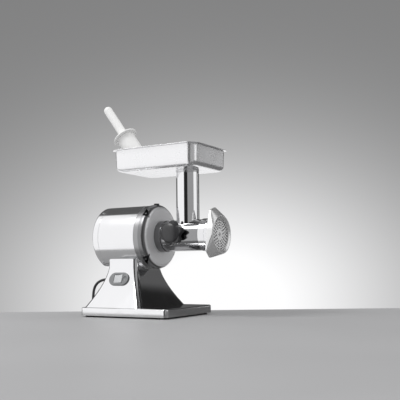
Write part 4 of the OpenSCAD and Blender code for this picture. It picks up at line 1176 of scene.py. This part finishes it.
stands_for(finished("lock_knob_piece", mesh, knob_plastic, 40), "lock_knob")

# %% [markdown]
# ## The tray
# The tray is a deep pressed pan with sloping sides, a rounded lower edge and a flat rim that is
# folded over. The sheet is drawn as it is: up the outside, round the rim and down inside. The
# hole in its floor is cut last, and the spout is welded into it.

# %% The tray
TRAY_FLOOR, TRAY_RIM, TRAY_SHEET, RIM_W = 365, 421, 1.25, 7
TRAY_DEPTH, TRAY_TAPER, TRAY_EDGE = 56, 2, 13


def tray_level(inset, z, corner=22):
    return plan(93 - inset, inset - 151.5, 101.5 - inset, max(corner - inset / 3, 1), z, 16)


def tray_wall(inset, rise):
    """Levels of the tray's side from its floor up to the rise, set in by the sheet."""
    levels = []
    edge = TRAY_EDGE - inset * 0.4
    for step in range(13):
        turn = math.radians(90 * step / 12)
        h = edge * (1 - math.cos(turn))
        lean = TRAY_TAPER * (1 - h / TRAY_DEPTH)
        levels.append(tray_level(lean + RIM_W + inset + edge * (1 - math.sin(turn)),
                                 TRAY_FLOOR + inset + h))
    for h in (edge + 0.3, 25, rise):
        levels.append(tray_level(TRAY_TAPER * (1 - h / TRAY_DEPTH) + RIM_W + inset,
                                 TRAY_FLOOR + inset + h))
    return levels


outer = tray_wall(0, TRAY_DEPTH - 4)
fold = []
for step in range(1, 6):
    turn = math.radians(90 * step / 5)
    fold.append(tray_level(RIM_W + 0.25 - 2.5 * (1 - math.cos(turn)),
                           TRAY_RIM - TRAY_SHEET - 2.5 * (1 - math.sin(turn)), 24))
lip = []
for step in range(7):
    turn = math.radians(180 * step / 6)
    half = TRAY_SHEET / 2
    lip.append(tray_level(half * (1 - math.sin(turn)), TRAY_RIM - half * (1 + math.cos(turn)), 27))
over = []
for step in range(6):
    turn = math.radians(90 * step / 5)
    over.append(tray_level(RIM_W + 1.5 - 3.0 * (1 - math.sin(turn)),
                           TRAY_RIM - 3.0 * (1 - math.cos(turn)), 24))
inner = tray_wall(TRAY_SHEET, TRAY_DEPTH - 5)[::-1]
mesh = bmesh.new()
rings = [[mesh.verts.new(p) for p in level] for level in outer + fold + lip + over + inner]
capped(mesh, rings)
tray = finished("tray_pan", mesh, tray_sheet)
cut(tray, [peg(26.7, 358, 373, upright(0, NECK_Y), 128)])
stands_for(tray, "feed_tray")
spout = turned("tray_outlet", [
    (25.45, 339.05, 0.4), (26.65, 339.05, 0.4), (26.65, 360.65), (29.5, 360.65, 0.6),
    (29.5, 364.95, 0.3), (26.65, 364.95), (26.65, 366.2), (25.45, 366.2, 0.5)],
    upright(0, NECK_Y), tray_sheet, 128)
stands_for(spout, "tray_spout")
print("tray:", len(tray.data.polygons), "faces")

# %% [markdown]
# ## The stomper
# The stomper is turned from white plastic: a plunger that fits the neck, a flange that stops it
# at the tray's floor, and a round-ended handle. It leans in the tray as it was put down.

# %% The stomper
LEAN = math.radians(36)
PLUNGER_R, PLUNGER_LEN, FLANGE_R, HANDLE_R, HANDLE_LEN = 23.5, 100.5, 33, 11.5, 104
stomper_foot_z = TRAY_FLOOR + TRAY_SHEET + 0.4 + PLUNGER_R * math.sin(LEAN)
stomper_foot_y = 101.5 - RIM_W - 0.6 - TRAY_SHEET - PLUNGER_R / math.cos(LEAN) \
    - (TRAY_RIM - stomper_foot_z) * math.tan(LEAN)
leaning = upright(-30, stomper_foot_y, stomper_foot_z) @ Matrix.Rotation(-LEAN, 4, "X")
grip_end = PLUNGER_LEN + 5 + HANDLE_LEN
stomper = turned("stomper_piece", [
    (0, 0), (PLUNGER_R, 0, 2), (PLUNGER_R, PLUNGER_LEN, 1), (FLANGE_R, PLUNGER_LEN, 2.4),
    (FLANGE_R, PLUNGER_LEN + 5, 2.4), (HANDLE_R, PLUNGER_LEN + 5, 2.5),
    (HANDLE_R, grip_end, 11.3), (0, grip_end)], leaning, polyethylene, 160, 12)
stands_for(stomper, "stomper")

# %% [markdown]
# ## The switch
# A raised oval plate holds a rocker. The plate is lofted with a rounded edge; the window, and
# the hollow for a fingertip in front of it, are cut out.

# %% The switch
plate_levels = [(59, 34, 0.15), (59, 34, 1.7), (58.8, 33.8, 2.2), (58.2, 33.2, 2.75),
                (57.2, 32.2, 3.1), (56, 31, 3.2)]
bezel = pressed("switch_plate", oval_levels(plate_levels), switch_plastic, crisp=40)


def switch_box(x, half_l, half_h, low, high):
    """A cutter with square corners, centred x forward of the switch's middle."""
    mesh = bmesh.new()
    ends = [[mesh.verts.new(on_switch @ Vector((x + sx * half_l, sy * half_h, z)))
             for sx, sy in ((1, 1), (-1, 1), (-1, -1), (1, -1))] for z in (low, high)]
    capped(mesh, ends)
    return finished("cutter", mesh, switch_plastic)


mesh = bmesh.new()
hollow = [[mesh.verts.new(on_switch @ Vector((19.5 + scale * p.x, scale * p.y, z)))
           for p in oval(13, 12)] for scale, z in ((0.8, 1.4), (0.93, 1.8), (1, 2.5), (1.06, 4))]
capped(mesh, hollow)
cut(bezel, [switch_box(-1, 14, 11, -2, 8), finished("cutter", mesh, switch_plastic)], 40)
stands_for(bezel, "switch_bezel")

ROCKER_TILT = math.radians(8)
rocking = on_switch @ Matrix.Translation((-1, 0, 0)) @ Matrix.Rotation(-ROCKER_TILT, 4, "Y")
profile = [(-13.1, -4.6)]
for k in range(25):
    x = -13.1 + 26.2 * k / 24
    profile.append((x, 52.2 - math.sqrt(50 ** 2 - x * x)))
profile.append((13.1, -4.6))
mesh = bmesh.new()
capped(mesh, [[mesh.verts.new(rocking @ Vector((x, y, z))) for x, z in profile]
              for y in (-10.4, 10.4)])
rocker = finished("switch_key", mesh, rocker_plastic, 20)
soften = rocker.modifiers.new("soften", "BEVEL")
soften.width, soften.segments, soften.limit_method = 0.0005, 3, "ANGLE"
soften.angle_limit = math.radians(40)
stands_for(applied(rocker, 40), "switch_rocker")

# %% [markdown]
# ## Where the lead leaves
# A strain relief keeps the lead from kinking at the pedestal: a flange outside the hole and a
# ribbed sleeve that thins towards the lead. The ribs are part of the turned outline.

# %% The strain relief
RELIEF_Y = 142
sleeve = [(3.55, 8), (3.55, -9), (7.9, -9), (7.9, 0.65), (10, 0.65, 0.6), (10, 3.6, 1),
          (6.6, 4.6, 0.6)]
for rib in range(7):
    at = 8 + rib * 3.3
    r = 6.6 - 2.1 * (at - 4.6) / 28.4
    sleeve += [(r, at), (r - 0.75, at + 0.5), (r - 0.85, at + 1.5), (r - 0.1, at + 2)]
sleeve += [(4.7, 33, 0.5), (3.55, 33)]
relief_axis = Matrix(((1, 0, 0, 0), (0, 0, 1, RELIEF_Y), (0, 1, 0, 92), (0, 0, 0, 1)))
stands_for(turned("lead_sleeve", sleeve, relief_axis, black_plastic, 64, 4), "strain_relief")

# %% [markdown]
# ## The plug
# The plug lies beside the coil. It is a generic round one: a body with grip rings, a sleeve
# that thins towards the lead, and two round pins.

# %% The plug and its pins
PLUG_R, PLUG_LEN = 13, 34
PLUG_BACK = 228 - 32 - PLUG_LEN
plug_axis = Matrix(((1, 0, 0, coil_exit[0]), (0, 0, 1, PLUG_BACK), (0, 1, 0, PLUG_R),
                    (0, 0, 0, 1)))
body = [(0, 0), (11.6, 0, 0.8), (12.9, 1.6, 0.8)]
for ring_at in (6, 9, 12, 15):
    body += [(12.9, ring_at), (12.1, ring_at + 0.6), (12.1, ring_at + 1.2),
             (12.9, ring_at + 1.8)]
body += [(12.9, 20.4, 2), (10.4, 25.5, 2), (5.5, 33.2, 1), (0, 33.95)]
stands_for(turned("lead_plug", body, plug_axis, black_plastic, 96, 4), "power_plug")

mesh = bmesh.new()
for side in (-1, 1):
    pin_place = plug_axis @ Matrix.Translation((9.5 * side, 0, 0))
    turned_into(mesh, [(0, -19), (2.4, -19, 0.9), (2.4, 0), (0, 0)], pin_place, 32, 4)
stands_for(finished("plug_prongs", mesh, bright_screw), "plug_pins")

# %% [markdown]
# ## The strap round the coil
# A soft strap holds the turns together. It follows the coil's section, so it is a band swept
# round a rounded rectangle.

# %% The strap
def strap_ring(grow, y_half=7.0, height=21.0):
    return rounded([(-y_half - grow, 0.02), (y_half + grow, 0.02),
                    (y_half + grow, height + grow, 1.5 + grow),
                    (-y_half - grow, height + grow, 1.5 + grow)], 5)


strap_y = coil_middle[1] - coil_turn_r
mesh = bmesh.new()
bands = []
for x, grow in ((-5, 0.2), (5, 0.2), (5, 1.1), (4.6, 1.35), (-4.6, 1.35), (-5, 1.1)):
    bands.append([mesh.verts.new(Vector((coil_middle[0] + x, strap_y + p.x, p.y)))
                  for p in strap_ring(grow)])
skin(mesh, bands, True)
stands_for(finished("lead_strap", mesh, strap_plastic), "cord_tie")

# %% [markdown]
# ## Declaring the lead
# The lead replaces the plain tube and ring that stood for it in the model, and rides on the base.

# %% The lead is a cord
stands_for(power_lead, "power_cord", "cord_coil")

# %% [markdown]
# ## Everything else
# The pieces inside keep the model's own shapes, which are already right, and only get their
# finishes: one per slot of the record.

# %% Finishes for the inner pieces
finish_of_slot = {
    "polished_steel": mirror_sheet, "brushed_steel": turned_drum, "tray_steel": tray_sheet,
    "polished_casting": polished_barrel, "satin_casting": satin_nut,
    "plate_steel": ground_plate, "tinned_iron": tinned_screw, "screw_steel": bright_screw,
    "bearing_steel": ground_bearing, "bronze": bearing_bronze, "gear_steel": machined_steel,
    "gear_bronze": bronze, "galvanised": zinc_sheet, "die_cast": die_casting,
    "lamination_steel": lamination_stack, "copper_winding": winding_copper,
    "black_plastic": black_plastic, "switch_grey": switch_plastic,
    "rocker_grey": rocker_plastic, "white_plastic": polyethylene,
    "capacitor_white": white_plastic, "block_ivory": ivory_plastic,
    "black_rubber": foot_rubber, "cord_black": sheath, "tie_grey": strap_plastic}
for name, node in nodes.items():
    node.data.materials.clear()
    node.data.materials.append(finish_of_slot[slot_of_node[name]])
print("finished", len(nodes), "nodes;", len(made), "pieces made for them")

# %% [markdown]
# ## The studio
# Polished metal shows its surroundings, so the studio is the finish. The world holds it as a map
# of compass directions. Matt pieces are lit evenly from it. Polished ones see white panels to
# the left and right of the camera, a black card and a grey wall behind it, and darkness beyond.
# The camera itself sees a grey wall with a soft pool of light behind the machine.

# %% Directions in the world
world = bpy.data.worlds.new("studio")
bpy.context.scene.world = world
world.use_nodes = True
room = Finish("studio", world.node_tree)
east, north, height = room.parts(room.node("ShaderNodeTexCoord", out="Generated"))
DEGREES = math.degrees(1)
compass = north.maths("ARCTAN2", east) * -DEGREES + 90
elevation = height.maths("ARCSINE") * DEGREES


def turned_from(direction):
    """Degrees between the compass and a direction, from -180 to 180."""
    return (compass - direction + 540).maths("FLOORED_MODULO", 360.0) - 180


def wedge(first, last, soft):
    """1 between two compass directions, falling to 0 over a soft edge outside them."""
    away = turned_from((first + last) / 2).maths("ABSOLUTE")
    return 1 - away.between((last - first) / 2, (last - first) / 2 + soft)


def band(low, high, soft):
    return elevation.between(low - soft, low + soft) * (1 - elevation.between(high - soft,
                                                                             high + soft))


# %% What polished metal sees
mirrored = 0.10
for first, last, edge, low, high, blur, tone in (
        (-182, -116, 4, -90, 70, 10, 0.34),     # the grey wall behind the camera
        (138, 178, 2, -60, 55, 8, 1.0),         # the white panel on the right
        (-116, -81, 4, -90, 75, 10, 0.02),      # the black card beside the camera
        (-81, 3, 3, -90, 56, 2, 1.05),          # the white panel on the left
        (20, 96, 8, -90, -2, 3, 1.05),          # the pool of light behind the machine
        (90, 126, 3, -90, 24, 2, 0.10),         # the dim far corner, and the dark above it
        (90, 126, 4, 25, 70, 2, 0.014),
        (113, 118.6, 0.8, 0.5, 11, 1, 1.05)):   # a small light card low in that corner
    share = wedge(first, last, edge) * band(low, high, blur)
    mirrored = mirrored + (tone - mirrored) * share

# %% Kinds of ray
def rays(tree):
    """1 where the camera looks straight at something, and 1 where it is seen in polished metal."""
    paths = tree.nodes.new("ShaderNodeLightPath")
    return [Value(tree, paths.outputs[name]) for name in ("Is Camera Ray", "Is Glossy Ray")]


# %% What the camera sees, and the world's strength
across = turned_from(61.5) / 18.3
upwards = (elevation + 3) / 12.8
pool = ((across * across + upwards * upwards) * -1).maths("EXPONENT")
backdrop = (0.5 + 0.55 * pool).maths("POWER", 2.2).maths("MINIMUM", 1.0)
seen, in_metal = rays(world.node_tree)
even = 0.62 + 0.30 * elevation.between(-30, 60)
strength = even + (mirrored - even) * in_metal
strength = strength + (backdrop - strength) * seen
shade = room.node("ShaderNodeCombineColor", sockets={"Red": strength, "Green": strength,
                                                      "Blue": strength * 1.006})
put(world.node_tree, world.node_tree.nodes["Background"].inputs["Color"], shade)

# %% [markdown]
# ## The floor
# A plain grey table top takes the machine's shadow. Its rear edge lies behind the machine, where
# the lit wall starts, and polished metal sees the left panel beside it.

# %% The floor
floor_finish = Finish("studio_floor")
cloud = floor_finish.noise(floor_finish.place(), scale=3, detail=2)
tree = floor_finish.tree
x, y, z = floor_finish.parts(floor_finish.place())
seen, in_metal = rays(tree)
pale = floor_finish.blend(cloud, (0.43, 0.43, 0.435), (0.47, 0.47, 0.475))
# Seen in polished metal the floor is painted darker, and darker still in front of the machine: a painted dark
# reflection.
pale = floor_finish.blend(in_metal, pale, (0.30, 0.30, 0.30))
dark_reflection_in_front = 1 - y.between(-0.09, -0.05)
floor_finish.surface(Base_Color=floor_finish.blend(in_metal * dark_reflection_in_front, pale, (0.13, 0.13, 0.13)),
                     Roughness=0.5 + 0.1 * cloud)
depth = x * math.sin(view_azimuth) + y * math.cos(view_azimuth)
beyond = depth.between(0.205, 0.21)
beside = 1 - x.between(-0.26, -0.22)
open_share = (seen * beyond + in_metal * beyond.maths("MAXIMUM", beside)).maths("MINIMUM", 1.0)
mix = tree.nodes.new("ShaderNodeMixShader")
put(tree, mix.inputs[0], open_share)
tree.links.new(tree.nodes["Principled BSDF"].outputs[0], mix.inputs[1])
tree.links.new(tree.nodes.new("ShaderNodeBsdfTransparent").outputs[0], mix.inputs[2])
tree.links.new(mix.outputs[0], tree.nodes["Material Output"].inputs["Surface"])
mesh = bmesh.new()
ring = [mesh.verts.new((8 * math.cos(math.pi * k / 48), 8 * math.sin(math.pi * k / 48), 0))
        for k in range(96)]
mesh.faces.new(ring)
floor_data = bpy.data.meshes.new("studio_floor")
mesh.to_mesh(floor_data)
mesh.free()
floor_data.materials.append(floor_finish.material)
floor = bpy.data.objects.new("studio_floor", floor_data)
bpy.context.scene.collection.objects.link(floor)
print("the floor is", round(2 * max(v.co.x for v in floor_data.vertices)), "m across")

# %% [markdown]
# ## Lamps
# One large soft lamp above and to the left draws the shadows under the machine.

# %% The key lamp
def lamp(name, place, target, size, power):
    data = bpy.data.lights.new(name, "AREA")
    data.shape, data.size, data.energy = "DISK", size, power
    light = bpy.data.objects.new(name, data)
    bpy.context.scene.collection.objects.link(light)
    light.location = place
    light.rotation_euler = (Vector(target) - Vector(place)).to_track_quat("-Z", "Y").to_euler()
    print(name, "is", size, "m across, with", power, "W")


lamp("key_lamp", (-1.2, 0.9, 2.2), (0, 0, 0.2), 1.0, 22)

# %% [markdown]
# ## The view transform
# Colours are shown through the Standard view transform.

# %% The view transform
bpy.context.scene.view_settings.view_transform = "Standard"
